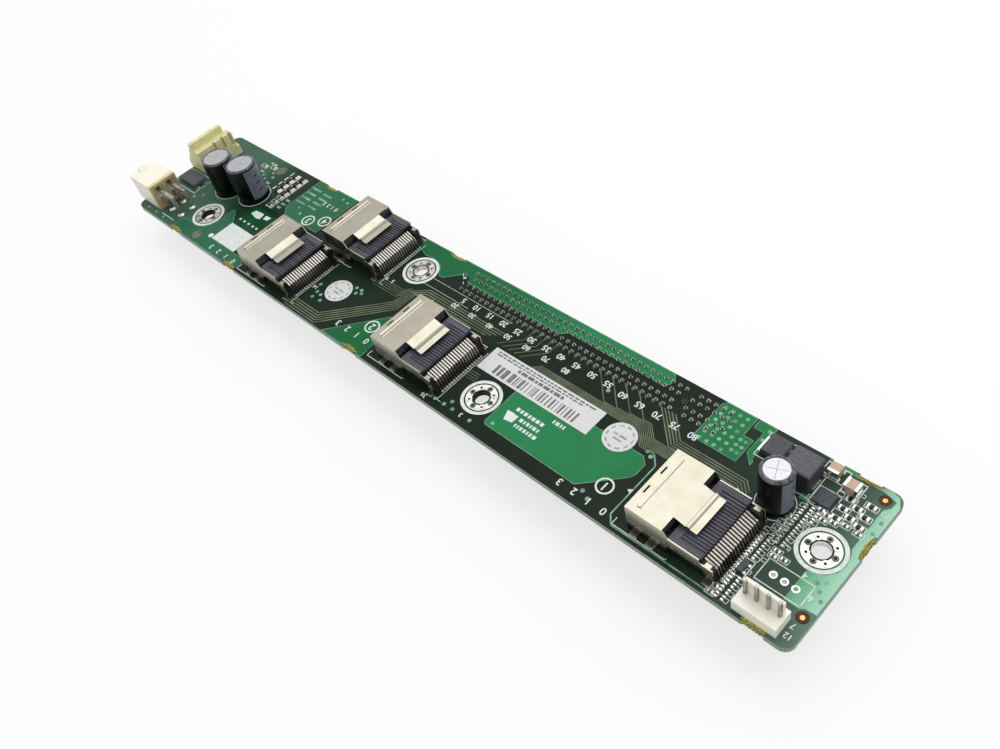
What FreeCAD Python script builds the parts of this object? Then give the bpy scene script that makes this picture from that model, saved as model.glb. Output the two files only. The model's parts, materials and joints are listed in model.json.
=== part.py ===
import FreeCAD, Part
import os
import re
import Sketcher

# Riser card, millimetres. Origin: axis of the right-hand mounting hole, board underside.
# X runs along the card to the right end, Y to the slot edge, Z up out of the populated face.

doc = FreeCAD.newDocument("riser_card")

sheet = doc.addObject("Spreadsheet::Sheet", "Sizes")
sizes = {
    # Board
    "card_length": 245.0,
    "card_width": 42.0,
    "card_thickness": 1.6,
    "card_corner": 2.5,
    "datum_to_right": 7.0,
    "datum_to_back": 20.0,
    "tab_length": 5.0,
    "tab_depth": 0.4,
    "mount_radius": 2.0,
    "mount_1_from_left": 27.5,
    "mount_1_y": -11.4,
    "mount_2_x": -130.9,
    "mount_2_y": 9.7,
    "mount_3_x": -84.2,
    "mount_3_y": -12.6,
    # Edge-card slot under the board
    "slot_x": -115.8,
    "slot_from_back": 5.65,
    "slot_width": 7.7,
    "slot_height": 11.25,
    "slot_end": 3.0,
    "slot_pitch": 1.0,
    "slot_long_ways": 71,
    "slot_key_gap": 3.0,
    "slot_short_ways": 11,
    "slot_inner_row": 1.3,
    "slot_outer_row": 3.3,
    "slot_roof": 1.5,
    "slot_trough": 3.0,
    "slot_mouth": 1.8,
    "slot_lip": 1.8,
    "slot_blade_thickness": 0.25,
    "slot_tail": 0.45,
    "slot_tail_height": 0.7,
    # Multilane ports
    "port_1_x": -33.5,
    "port_1_from_front": 11.75,
    "port_2_x": -116.2,
    "port_2_from_front": 12.0,
    "port_3_from_left": 60.9,
    "port_3_from_front": 11.4,
    "port_4_to_slot": 44.9,
    "port_4_from_back": 10.8,
    "cage_width": 17.8,
    "cage_height": 8.0,
    "cage_length": 9.4,
    "cage_sheet": 0.3,
    "cage_rail_end": 21.5,
    "cage_rail_step": 18.3,
    "cage_rail_height": 6.1,
    "cage_rail_low": 4.9,
    "cage_rail_under": 3.3,
    "cage_tab_width": 9.8,
    "cage_tab_length": 5.6,
    "cage_rib_length": 14.5,
    "cage_rib_height": 0.25,
    "cage_foot": 0.9,
    "insert_gap": 0.1,
    "insert_bulkhead": 1.1,
    "insert_front": 10.6,
    "insert_notch": 1.6,
    "insert_top_end": 18.4,
    "insert_shelf": 4.05,
    "insert_knee": 20.9,
    "insert_knee_height": 2.95,
    "insert_rear": 21.7,
    "insert_height": 6.0,
    "insert_post": 1.2,
    "insert_post_height": 4.6,
    "insert_card_slot": 1.2,
    "insert_groove": 0.42,
    "insert_groove_depth": 0.35,
    "contact_ways": 18,
    "contact_pitch": 0.8,
    "contact_width": 0.4,
    "contact_thickness": 0.2,
    "contact_reach": 22.4,
    # Can capacitors
    "right_can_x": -13.1,
    "right_can_y": 3.8,
    "right_can_diameter": 7.4,
    "right_can_height": 12.3,
    "left_can_diameter": 9.6,
    "left_can_height": 12.5,
    "left_can_1_from_left": 33.4,
    "left_can_1_y": 3.15,
    "left_can_2_from_left": 22.9,
    "left_can_2_y": 0.9,
    "can_sleeve": 0.35,
    "can_rim": 0.15,
    # Two by two power header at the left end
    "power_overhang": 2.5,
    "power_length": 13.0,
    "power_width": 9.6,
    "power_height": 8.6,
    "power_from_front": 7.7,
    "power_pitch": 4.2,
    "power_cavity": 3.3,
    "power_back_wall": 3.0,
    "power_pin": 1.07,
    "power_lower_row": 13.3,
    "power_upper_row": 18.8,
    "power_latch_width": 3.0,
    "power_recess": 2.0,
    # Friction-lock header at the back left
    "lock_overhang": 0.5,
    "lock_depth": 9.9,
    "lock_y": 0.6,
    "lock_length": 14.6,
    "lock_base": 3.0,
    "lock_block": 8.6,
    "lock_block_depth": 2.9,
    "lock_wall": 1.5,
    "lock_wall_length": 12.4,
    "lock_wall_height": 11.0,
    "lock_gusset": 0.9,
    "lock_flute": 0.9,
    "lock_pin": 1.1,
    "lock_pin_from_left": 2.5,
    "lock_pitch": 3.96,
    "lock_ways": 3,
    "lock_pin_top": 9.3,
    # Four-pin header at the front right
    "fan_x": -1.45,
    "fan_length": 9.9,
    "fan_from_front": 0.95,
    "fan_depth": 5.05,
    "fan_base": 3.2,
    "fan_wall": 0.8,
    "fan_wall_setback": 0.9,
    "fan_wall_height": 7.4,
    "fan_wall_length": 8.6,
    "fan_pin": 0.64,
    "fan_pitch": 2.54,
    "fan_ways": 4,
    "fan_pin_from_front": 3.95,
    "fan_pin_top": 8.5,
    "pin_below": 1.5,
    # Power parts and chips
    "choke_x": -12.3,
    "choke_from_back": 7.7,
    "choke_length": 6.5,
    "choke_width": 6.3,
    "choke_height": 5.9,
    "choke_edge": 0.3,
    "choke_terminal": 0.4,
    "switch_x": -20.2,
    "switch_from_back": 5.0,
    "switch_length": 5.2,
    "switch_width": 5.2,
    "switch_height": 1.8,
    "control_x": -5.75,
    "control_from_back": 9.6,
    "control_side": 3.8,
    "control_height": 0.9,
    "regulator_from_left": 7.0,
    "regulator_y": -3.9,
    "regulator_length": 9.6,
    "regulator_width": 4.8,
    "regulator_height": 1.6,
    "transistor_x": -9.7,
    "transistor_y": -12.4,
    "transistor_length": 2.9,
    "transistor_width": 1.3,
    "transistor_height": 1.1,
    "ceramic_length": 3.2,
    "ceramic_width": 2.5,
    "ceramic_height": 2.5,
    "ceramic_end": 0.6,
    "sense_length": 3.2,
    "sense_width": 1.6,
    "sense_height": 0.6,
    "sense_end": 0.5,
    "sense_pitch_x": 3.8,
    "sense_pitch_y": 2.5,
    "chip_length": 1.6,
    "chip_width": 0.8,
    "chip_height": 0.55,
    "chip_end": 0.3,
    "small_length": 1.0,
    "small_width": 0.55,
    "small_height": 0.5,
    "small_end": 0.25,
    "small_pitch_x": 1.5,
    "small_pitch_y": 1.7,
    # Paper label
    "label_x": -74.4,
    "label_y": -2.4,
    "label_length": 36.0,
    "label_width": 7.6,
    "paper": 0.12,
    # Spare plated holes
    "spare_pitch": 2.5,
    "spare_x": -1.7,
    "spare_y": -10.15,
    "spare_radius": 0.55,
    "peg_hole_x": -6.0,
    "peg_hole_y": -13.6,
    "peg_hole_radius": 0.8,
}
for row, (alias, value) in enumerate(sizes.items(), 1):
    sheet.set("A%d" % row, alias)
    sheet.set("B%d" % row, str(value))
    sheet.setAlias("B%d" % row, alias)
doc.recompute()

# Edges of the board, as expressions in the cells
LEFT = "(datum_to_right - card_length)"
RIGHT = "datum_to_right"
BACK = "datum_to_back"
FRONT = "(datum_to_back - card_width)"
TOP = "card_thickness"


def cell(text):
    # Every word in an expression is an alias in the sheet
    return re.sub(r"[a-z]\w*", r"Sizes.\g<0>", text)


def number(text):
    return float(sheet.evalExpression(cell(text)))


def body(label, x="0", y="0", z="0"):
    made = doc.addObject("PartDesign::Body", label)
    made.Label = label
    for axis, text in zip("xyz", (x, y, z)):
        made.setExpression("Placement.Base." + axis, cell(text))
    return made


def origin(owner, role):
    return [item for item in owner.Origin.OriginFeatures if item.Role == role][0]


def rect(x0, y0, x1, y1):
    return [(x0, y0), (x1, y0), (x1, y1), (x0, y1)]


def sketch(owner, role, shapes, start):
    # Closed outlines (lists of points) and circles (x, y, radius), every value bound to the sheet
    made = owner.newObject("Sketcher::SketchObject", "profile")
    made.AttachmentSupport = (origin(owner, role), [""])
    made.MapMode = "FlatFace"
    side = "-(%s)" % start if role == "XZ_Plane" else start
    made.setExpression("AttachmentOffset.Base.z", cell(side))
    held = []
    for shape in shapes:
        first = made.GeometryCount
        if isinstance(shape, tuple):
            x, y, r = (number(text) for text in shape)
            circle = Part.Circle(FreeCAD.Vector(x, y, 0), FreeCAD.Vector(0, 0, 1), r)
            made.addGeometry(circle)
            held.append((Sketcher.Constraint("DistanceX", -1, 1, first, 3, x), shape[0]))
            held.append((Sketcher.Constraint("DistanceY", -1, 1, first, 3, y), shape[1]))
            held.append((Sketcher.Constraint("Radius", first, r), shape[2]))
            continue
        points = [FreeCAD.Vector(number(x), number(y), 0) for x, y in shape]
        count = len(points)
        for i in range(count):
            made.addGeometry(Part.LineSegment(points[i], points[(i + 1) % count]))
        for i in range(count):
            made.addConstraint(
                Sketcher.Constraint("Coincident", first + i, 2, first + (i + 1) % count, 1))
        for i, (x, y) in enumerate(shape):
            held.append((Sketcher.Constraint("DistanceX", -1, 1, first + i, 1, points[i].x), x))
            held.append((Sketcher.Constraint("DistanceY", -1, 1, first + i, 1, points[i].y), y))
    for constraint, text in held:
        index = made.addConstraint(constraint)
        made.setExpression("Constraints[%d]" % index, cell(text))
    return made


def pad(owner, role, shapes, length, start="0", middle=False):
    made = owner.newObject("PartDesign::Pad", "pad")
    made.Profile = sketch(owner, role, shapes, start)
    made.setExpression("Length", cell(length))
    made.Midplane = middle
    owner.Tip = made
    return made


def pocket(owner, role, shapes, length, start="0"):
    # Cut to both sides of the sketch
    made = owner.newObject("PartDesign::Pocket", "pocket")
    made.Profile = sketch(owner, role, shapes, start)
    made.setExpression("Length", cell(length))
    made.Midplane = True
    owner.Tip = made
    return made


def repeat(owner, feature, role, count, pitch):
    made = owner.newObject("PartDesign::LinearPattern", "row")
    made.Originals = [feature]
    made.Direction = (origin(owner, role), [""])
    made.setExpression("Length", cell("((%s) - 1) * (%s)" % (count, pitch)))
    made.setExpression("Occurrences", cell(count))
    owner.Tip = made
    return made


# Circuit board: one glass-epoxy sheet with rounded corners, its open holes and break-off tab stubs.
# Holes that a soldered lead fills are left solid, and the lead is made above and below the board.
board = body("circuit_board")
blank = pad(board, "XY_Plane", [rect(LEFT, FRONT, RIGHT, BACK)], "card_thickness")
doc.recompute()
uprights = []
for index, edge in enumerate(blank.Shape.Edges, 1):
    if abs(edge.Vertexes[0].Z - edge.Vertexes[1].Z) > number("card_thickness") / 2:
        uprights.append("Edge%d" % index)
corners = board.newObject("PartDesign::Fillet", "corners")
corners.Base = (blank, uprights)
corners.setExpression("Radius", cell("card_corner"))
board.Tip = corners

mounts = [
    (LEFT + " + mount_1_from_left", "mount_1_y", "mount_radius"),
    ("mount_2_x", "mount_2_y", "mount_radius"),
    ("mount_3_x", "mount_3_y", "mount_radius"),
    ("0", "0", "mount_radius"),
]
pocket(board, "XY_Plane", mounts, "card_thickness * 4")

spare = [
    ("spare_x - spare_pitch", "spare_y", "spare_radius"),
    ("spare_x", "spare_y", "spare_radius"),
    ("spare_x + spare_pitch", "spare_y", "spare_radius"),
    ("peg_hole_x", "peg_hole_y", "peg_hole_radius"),
]
pocket(board, "XY_Plane", spare, "card_thickness * 4")

stubs = []
for x in (LEFT + " + 23.2", LEFT + " + 54", "-125.6", "-1"):
    stubs.append(rect(x + " - tab_length / 2", FRONT + " - 1",
                      x + " + tab_length / 2", FRONT + " + tab_depth"))
for x in (LEFT + " + 54", "-125.6", "-1"):
    stubs.append(rect(x + " - tab_length / 2", BACK + " - tab_depth",
                      x + " + tab_length / 2", BACK + " + 1"))
stubs.append(rect(RIGHT + " - tab_depth", "5.6 - tab_length / 2",
                  RIGHT + " + 1", "5.6 + tab_length / 2"))
pocket(board, "XY_Plane", stubs, "card_thickness * 4")

# Edge-card slot: moulded housing below the board, its cavity split by the key
SLOT_Y = BACK + " - slot_from_back"
slot = body("slot_housing", "slot_x", SLOT_Y, "0")
LONG_END = "(slot_long_ways - 1) * slot_pitch"
SHORT_START = "((slot_long_ways - 1) * slot_pitch + slot_key_gap)"
SHORT_END = "(%s + (slot_short_ways - 1) * slot_pitch)" % SHORT_START
pad(slot, "XY_Plane",
    [rect("-slot_end", "-slot_width / 2", SHORT_END + " + slot_end", "slot_width / 2")],
    "slot_height", "-slot_height")
cavity = [
    ("-slot_trough / 2", "-slot_roof"),
    ("-slot_trough / 2", "slot_lip - slot_height"),
    ("-slot_mouth / 2", "slot_lip - slot_height"),
    ("-slot_mouth / 2", "0.7 - slot_height"),
    ("-slot_mouth / 2 - 0.8", "-slot_height"),
    ("slot_mouth / 2 + 0.8", "-slot_height"),
    ("slot_mouth / 2", "0.7 - slot_height"),
    ("slot_mouth / 2", "slot_lip - slot_height"),
    ("slot_trough / 2", "slot_lip - slot_height"),
    ("slot_trough / 2", "-slot_roof"),
]
pocket(slot, "YZ_Plane", [cavity], LONG_END + " + 1.1", LONG_END + " / 2")
pocket(slot, "YZ_Plane", [cavity], "(slot_short_ways - 1) * slot_pitch + 1.1",
       "(%s + %s) / 2" % (SHORT_START, SHORT_END))

# Contact strips inside the slot: one strip stands for each row of blades, both sides of the cavity
blades = body("slot_contacts", "slot_x", SLOT_Y, "0")
BLADE_Y = "slot_trough / 2"
strips = []
for start, end in (("0", LONG_END), (SHORT_START, SHORT_END)):
    strips.append(rect(start + " - 0.2", BLADE_Y + " - slot_blade_thickness", end + " + 0.2", BLADE_Y))
    strips.append(rect(start + " - 0.2", "-" + BLADE_Y, end + " + 0.2", "slot_blade_thickness - " + BLADE_Y))
pad(blades, "XY_Plane", strips, "slot_height - slot_lip - slot_roof - 0.3", "0.3 + slot_lip - slot_height")

# Soldered tips of the slot's contact tails, in four staggered rows on the populated face
tails = body("slot_tails", "slot_x", SLOT_Y, TOP)
rows = (
    ("0", "(slot_long_ways + 1) / 2", "slot_outer_row"),
    (SHORT_START + " + slot_pitch", "(slot_short_ways - 1) / 2", "slot_outer_row"),
    ("slot_pitch", "(slot_long_ways - 1) / 2", "slot_inner_row"),
    (SHORT_START, "(slot_short_ways + 1) / 2", "slot_inner_row"),
)
for start, count, row in rows:
    pair = [
        rect(start + " - slot_tail / 2", side + row + " - slot_tail / 2",
             start + " + slot_tail / 2", side + row + " + slot_tail / 2")
        for side in ("-", "")
    ]
    tail = pad(tails, "XY_Plane", pair, "slot_tail_height")
    repeat(tails, tail, "X_Axis", count, "slot_pitch * 2")

# Multilane ports: folded sheet cage, moulded insert and eighteen bent contacts each
ports = (
    ("port_1", "port_1_x", FRONT + " + port_1_from_front"),
    ("port_2", "port_2_x", FRONT + " + port_2_from_front"),
    ("port_3", LEFT + " + port_3_from_left", FRONT + " + port_3_from_front"),
    ("port_4", "slot_x - port_4_to_slot", BACK + " - port_4_from_back"),
)
for name, x, y in ports:
    cage = body(name + "_cage", x, y, TOP)
    half = "cage_width / 2"
    tube = [
        rect("-" + half, "0", half, "cage_height"),
        rect("cage_sheet - " + half, "cage_sheet", half + " - cage_sheet", "cage_height - cage_sheet"),
    ]
    pad(cage, "YZ_Plane", tube, "cage_length")
    rail = [
        ("cage_length - 1", "0"),
        ("cage_length + 0.5", "0"),
        ("cage_length + 1.2", "cage_rail_under"),
        ("cage_rail_end - 2.2", "cage_rail_under"),
        ("cage_rail_end - 1.8", "0"),
        ("cage_rail_end", "0"),
        ("cage_rail_end", "cage_rail_low"),
        ("cage_rail_step", "cage_rail_low"),
        ("cage_rail_step", "cage_rail_height"),
        ("cage_length + 1.3", "cage_rail_height"),
        ("cage_length", "cage_height"),
        ("cage_length - 1", "cage_height"),
    ]
    for side in ("-", ""):
        pad(cage, "XZ_Plane", [rail], "cage_sheet", "%s(%s - cage_sheet / 2)" % (side, half), True)
    feet = []
    for near, far in (("1.2", "3.2"), ("5.6", "7.2"), ("cage_rail_end - 1.7", "cage_rail_end - 0.2")):
        feet.append(rect(near, half + " - 0.1", far, half + " + cage_foot"))
        feet.append(rect(near, "-%s - cage_foot" % half, far, "0.1 - " + half))
    pad(cage, "XY_Plane", feet, "cage_sheet")
    tabs = [
        rect("cage_rail_end - 2.1", half + " - 1.2", "cage_rail_end - 0.7", half + " - 0.1"),
        rect("cage_rail_end - 2.1", "0.1 - " + half, "cage_rail_end - 0.7", "1.2 - " + half),
    ]
    pad(cage, "XY_Plane", tabs, "cage_rail_low - insert_post_height", "insert_post_height")
    tongue = [
        ("cage_length - 0.5", "cage_height"),
        ("cage_length - 0.5", "cage_height - cage_sheet"),
        ("cage_length + 0.2", "cage_height - cage_sheet"),
        ("cage_length + cage_tab_length - 2.7", "cage_height - 1.05"),
        ("cage_length + cage_tab_length - 2.3", "cage_height - 0.65"),
        ("cage_length + cage_tab_length - 2.1", "cage_height - 0.65"),
        ("cage_length + cage_tab_length - 1.8", "cage_height - 1.15"),
        ("cage_length + cage_tab_length", "cage_height - 1.3"),
        ("cage_length + cage_tab_length", "cage_height - 1"),
        ("cage_length + cage_tab_length - 1.6", "cage_height - 0.85"),
        ("cage_length + cage_tab_length - 1.9", "cage_height - 0.35"),
        ("cage_length + cage_tab_length - 2.5", "cage_height - 0.35"),
        ("cage_length + cage_tab_length - 2.8", "cage_height - 0.75"),
        ("cage_length + 0.3", "cage_height"),
    ]
    pad(cage, "XZ_Plane", [tongue], "cage_tab_width", "0", True)
    rib = [
        ("2.2", "cage_height - 0.1"),
        ("3.05", "cage_height - 0.1"),
        ("2.85", "cage_height + cage_rib_height"),
        ("2.45", "cage_height + cage_rib_height"),
    ]
    pad(cage, "XZ_Plane", [rib], "cage_rib_length", "0", True)
    windows = [rect("0.78", "1.75", "1.23", "3.95"), rect("0.78", "-3.95", "1.23", "-1.75")]
    pocket(cage, "XY_Plane", windows, "cage_sheet * 2", "cage_height - cage_sheet / 2")

    insert = body(name + "_insert", x, y, TOP)
    inner = "(cage_width / 2 - cage_sheet - insert_gap)"
    roof = "cage_height - cage_sheet - insert_gap"
    block = [
        ("cage_length + insert_gap", "0"),
        ("insert_rear", "0"),
        ("insert_knee", "insert_knee_height"),
        ("insert_top_end", "insert_shelf"),
        ("insert_top_end", "insert_height"),
        ("insert_front", "insert_height"),
        ("insert_front", "insert_height - insert_notch"),
        ("cage_length - insert_gap", "insert_height - insert_notch"),
        ("cage_length - insert_gap", roof),
        ("cage_length - insert_gap - insert_bulkhead", roof),
        ("cage_length - insert_gap - insert_bulkhead", "cage_sheet + insert_gap"),
        ("cage_length + insert_gap", "cage_sheet + insert_gap"),
    ]
    pad(insert, "XZ_Plane", [block], inner + " * 2", "0", True)
    posts = [
        rect("insert_top_end - 1", inner + " - insert_post", "cage_rail_end - 0.3", inner),
        rect("insert_top_end - 1", "-" + inner, "cage_rail_end - 0.3", "insert_post - " + inner),
    ]
    pad(insert, "XY_Plane", posts, "insert_post_height")
    mouth = rect("-contact_ways * contact_pitch / 2 - 0.2", "3.6 - insert_card_slot / 2",
                 "contact_ways * contact_pitch / 2 + 0.2", "3.6 + insert_card_slot / 2")
    pocket(insert, "YZ_Plane", [mouth], "14", "cage_length - 1")
    first = "(contact_ways - 1) / 2 * contact_pitch"
    groove = rect("insert_front + 1.9", "insert_height - insert_groove_depth",
                  "insert_top_end + 0.5", "insert_height + 0.5")
    comb = pocket(insert, "XZ_Plane", [groove], "insert_groove", "-(%s)" % first)
    repeat(insert, comb, "Y_Axis", "contact_ways", "contact_pitch")

    contacts = body(name + "_contacts", x, y, TOP)
    strip = [
        ("insert_top_end", "insert_shelf"),
        ("insert_knee", "insert_knee_height"),
        ("insert_rear", "0"),
        ("contact_reach", "0"),
        ("contact_reach", "contact_thickness"),
        ("insert_rear + 0.2", "contact_thickness"),
        ("insert_knee + 0.22", "insert_knee_height + 0.15"),
        ("insert_top_end", "insert_shelf + 0.25"),
    ]
    finger = pad(contacts, "XZ_Plane", [strip], "contact_width", "-(%s)" % first, True)
    repeat(contacts, finger, "Y_Axis", "contact_ways", "contact_pitch")

# Can capacitors: aluminium can in a shrink sleeve that stands a little proud round the rim
cans = (
    ("right_can", "right_can_x", "right_can_y", "right_can"),
    ("left_can_1", LEFT + " + left_can_1_from_left", "left_can_1_y", "left_can"),
    ("left_can_2", LEFT + " + left_can_2_from_left", "left_can_2_y", "left_can"),
)
for name, x, y, kind in cans:
    outer = kind + "_diameter / 2"
    inner = outer + " - can_sleeve"
    can = body(name + "_shell", x, y, TOP)
    pad(can, "XY_Plane", [("0", "0", inner)], kind + "_height")
    sleeve = body(name + "_sleeve", x, y, TOP)
    pad(sleeve, "XY_Plane", [("0", "0", outer), ("0", "0", inner)], kind + "_height + can_rim")

# Power header: right-angle two by two housing with square cavities, latch ramp and bent pins
POWER_Y = FRONT + " + power_from_front"
power = body("power_header_housing", LEFT, POWER_Y, TOP)
pad(power, "XY_Plane",
    [rect("-power_overhang", "-power_width / 2", "power_length - power_overhang", "power_width / 2")],
    "power_height")
cells = []
bores = []
LOW_Z = "power_pitch / 2"
HIGH_Z = "power_pitch * 1.5"
for level in (LOW_Z, HIGH_Z):
    for side in ("-", ""):
        middle = side + "power_pitch / 2"
        cells.append(rect(middle + " - power_cavity / 2", level + " - power_cavity / 2",
                          middle + " + power_cavity / 2", level + " + power_cavity / 2"))
        reach = "power_pin / 2"
        bores.append(rect(middle + " - " + reach, level + " - " + reach,
                          middle + " + " + reach, level + " + " + reach))
pocket(power, "YZ_Plane", cells, "(power_length - power_back_wall) * 2", "-power_overhang")
pocket(power, "YZ_Plane", bores, "power_length * 3")
recesses = [
    rect("0.35", "0.9", "power_width / 2 - 0.85", "power_height - 0.9"),
    rect("0.85 - power_width / 2", "0.9", "-0.35", "power_height - 0.9"),
]
pocket(power, "YZ_Plane", recesses, "power_recess * 2", "power_length - power_overhang")
latch = [
    ("0.2 - power_overhang", "power_height - 0.1"),
    ("3 - power_overhang", "power_height - 0.1"),
    ("1.3 - power_overhang", "power_height + 1.2"),
    ("0.6 - power_overhang", "power_height + 1.2"),
]
pad(power, "XZ_Plane", [latch], "power_latch_width", "0", True)

angled = body("power_header_pins", LEFT, POWER_Y, TOP)
for level, drop in ((LOW_Z, "power_lower_row"), (HIGH_Z, "power_upper_row")):
    bend = [
        ("3 - power_overhang", level + " - power_pin / 2"),
        (drop + " - power_pin / 2", level + " - power_pin / 2"),
        (drop + " - power_pin / 2", "0"),
        (drop + " + power_pin / 2", "0"),
        (drop + " + power_pin / 2", level + " + power_pin / 2"),
        ("3 - power_overhang", level + " + power_pin / 2"),
    ]
    for side in ("-", ""):
        middle = side + "power_pitch / 2"
        pad(angled, "XZ_Plane", [bend], "power_pin", middle, True)
        tip = rect(drop + " - power_pin / 2", middle + " - power_pin / 2",
                   drop + " + power_pin / 2", middle + " + power_pin / 2")
        pad(angled, "XY_Plane", [tip], "pin_below", "-card_thickness - pin_below")

# Friction-lock header: base, rear block, tall lock wall with sloping end gussets, square pins
lock = body("lock_header_housing", LEFT + " - lock_overhang", "lock_y", TOP)
pad(lock, "XY_Plane", [rect("0", "0", "lock_depth", "lock_length")], "lock_base")
rear = "lock_depth - lock_block_depth"
pad(lock, "XY_Plane", [rect(rear, "0", "lock_depth", "lock_length - 0.9")], "lock_block")
pad(lock, "XY_Plane", [rect(rear + " - lock_wall", "0", rear, "lock_wall_length")], "lock_wall_height")
gusset = [
    ("0.6", "lock_base - 0.1"),
    (rear + " - lock_wall + 0.1", "lock_base - 0.1"),
    (rear + " - lock_wall + 0.1", "lock_wall_height - 1"),
]
for middle in ("lock_gusset / 2", "lock_wall_length - lock_gusset / 2"):
    pad(lock, "XZ_Plane", [gusset], "lock_gusset", middle, True)
flutes = [
    rect("lock_depth - lock_flute", "%s * lock_length" % at, "lock_depth + 1", "%s * lock_length + 1" % at)
    for at in ("0.42", "0.64", "0.84")
]
pocket(lock, "XY_Plane", flutes, "lock_block", "lock_block")
PIN_LOCK = "lock_pin_from_left + lock_overhang"
start = "lock_wall_length / 2 - (lock_ways - 1) / 2 * lock_pitch"
well = pocket(lock, "XY_Plane", [rect(PIN_LOCK + " - lock_pin / 2", start + " - lock_pin / 2",
                                      PIN_LOCK + " + lock_pin / 2", start + " + lock_pin / 2")],
              "lock_base * 3")
repeat(lock, well, "Y_Axis", "lock_ways", "lock_pitch")
posts = body("lock_header_pins", LEFT + " - lock_overhang", "lock_y", TOP)
square = rect(PIN_LOCK + " - lock_pin / 2", start + " - lock_pin / 2",
              PIN_LOCK + " + lock_pin / 2", start + " + lock_pin / 2")
for high, low in (("lock_pin_top", "0"), ("pin_below", "-card_thickness - pin_below")):
    post = pad(posts, "XY_Plane", [square], high, low)
    repeat(posts, post, "Y_Axis", "lock_ways", "lock_pitch")

# Four-pin header: low base with a friction wall behind the pins
fan = body("fan_header_housing", "fan_x", FRONT + " + fan_from_front", TOP)
pad(fan, "XY_Plane", [rect("-fan_length / 2", "0", "fan_length / 2", "fan_depth")], "fan_base")
pad(fan, "XY_Plane",
    [rect("-fan_wall_length / 2", "fan_depth - fan_wall_setback - fan_wall",
          "fan_wall_length / 2", "fan_depth - fan_wall_setback")], "fan_wall_height")
PIN_FAN = "fan_pin_from_front - fan_from_front"
start = "-(fan_ways - 1) / 2 * fan_pitch"
square = rect(start + " - fan_pin / 2", PIN_FAN + " - fan_pin / 2",
              start + " + fan_pin / 2", PIN_FAN + " + fan_pin / 2")
well = pocket(fan, "XY_Plane", [square], "fan_base * 3")
repeat(fan, well, "X_Axis", "fan_ways", "fan_pitch")
needles = body("fan_header_pins", "fan_x", FRONT + " + fan_from_front", TOP)
for high, low in (("fan_pin_top", "0"), ("pin_below", "-card_thickness - pin_below")):
    needle = pad(needles, "XY_Plane", [square], high, low)
    repeat(needles, needle, "X_Axis", "fan_ways", "fan_pitch")

# Choke: moulded powder block on two flat terminals
choke = body("choke_core", "choke_x", BACK + " - choke_from_back", TOP)
block = pad(choke, "XY_Plane",
            [rect("-choke_length / 2", "-choke_width / 2", "choke_length / 2", "choke_width / 2")],
            "choke_height - choke_terminal", "choke_terminal")
doc.recompute()
edges = []
for index, edge in enumerate(block.Shape.Edges, 1):
    if min(point.Z for point in edge.Vertexes) > number("choke_terminal") + 0.01:
        edges.append("Edge%d" % index)
    elif abs(edge.Vertexes[0].Z - edge.Vertexes[1].Z) > 1:
        edges.append("Edge%d" % index)
bevel = choke.newObject("PartDesign::Chamfer", "bevel")
bevel.Base = (block, edges)
bevel.setExpression("Size", cell("choke_edge"))
choke.Tip = bevel
straps = body("choke_terminals", "choke_x", BACK + " - choke_from_back", TOP)
pad(straps, "XY_Plane", [
    rect("-choke_length / 2 - 0.3", "-choke_width / 4", "-choke_length / 2 + 1.6", "choke_width / 4"),
    rect("choke_length / 2 - 1.6", "-choke_width / 4", "choke_length / 2 + 0.3", "choke_width / 4"),
], "choke_terminal")

# Power switch and left regulator: moulded bodies on a tab, with flat leads
chips = (
    ("power_switch", "switch_x", BACK + " - switch_from_back", "switch"),
    ("regulator", LEFT + " + regulator_from_left", "regulator_y", "regulator"),
)
for name, x, y, kind in chips:
    moulded = body(name + "_body", x, y, TOP)
    profile = [
        ("-%s_length / 2" % kind, "0.2"),
        ("%s_length / 2" % kind, "0.2"),
        ("%s_length / 2" % kind, "%s_height - 0.4" % kind),
        ("%s_length / 2 - 0.3" % kind, "%s_height" % kind),
        ("0.3 - %s_length / 2" % kind, "%s_height" % kind),
        ("-%s_length / 2" % kind, "%s_height - 0.4" % kind),
    ]
    pad(moulded, "XZ_Plane", [profile], "%s_width" % kind, "0", True)
    flat = body(name + "_leads", x, y, TOP)
    pad(flat, "XY_Plane", [
        rect("-%s_length / 2 - 0.9" % kind, "-%s_width * 0.4" % kind, "0", "%s_width * 0.4" % kind),
        rect("%s_length / 2 - 0.6" % kind, "%s_width * 0.2" % kind,
             "%s_length / 2 + 1.2" % kind, "%s_width * 0.4" % kind),
        rect("%s_length / 2 - 0.6" % kind, "-%s_width * 0.4" % kind,
             "%s_length / 2 + 1.2" % kind, "-%s_width * 0.2" % kind),
    ], "0.2")

# Control chip: flat no-lead package
control = body("control_chip_body", "control_x", BACK + " - control_from_back", TOP)
pad(control, "XY_Plane",
    [rect("-control_side / 2", "-control_side / 2", "control_side / 2", "control_side / 2")],
    "control_height")

# Small transistor: body and three flat leads
transistor = body("transistor_body", "transistor_x", "transistor_y", TOP)
pad(transistor, "XY_Plane",
    [rect("-transistor_width / 2", "-transistor_length / 2", "transistor_width / 2", "transistor_length / 2")],
    "transistor_height - 0.1", "0.1")
legs = body("transistor_leads", "transistor_x", "transistor_y", TOP)
pad(legs, "XY_Plane", [
    rect("-transistor_width / 2 - 0.5", "-0.2", "-0.2", "0.2"),
    rect("0.2", "0.75", "transistor_width / 2 + 0.5", "1.15"),
    rect("0.2", "-1.15", "transistor_width / 2 + 0.5", "-0.75"),
], "0.1")


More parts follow.
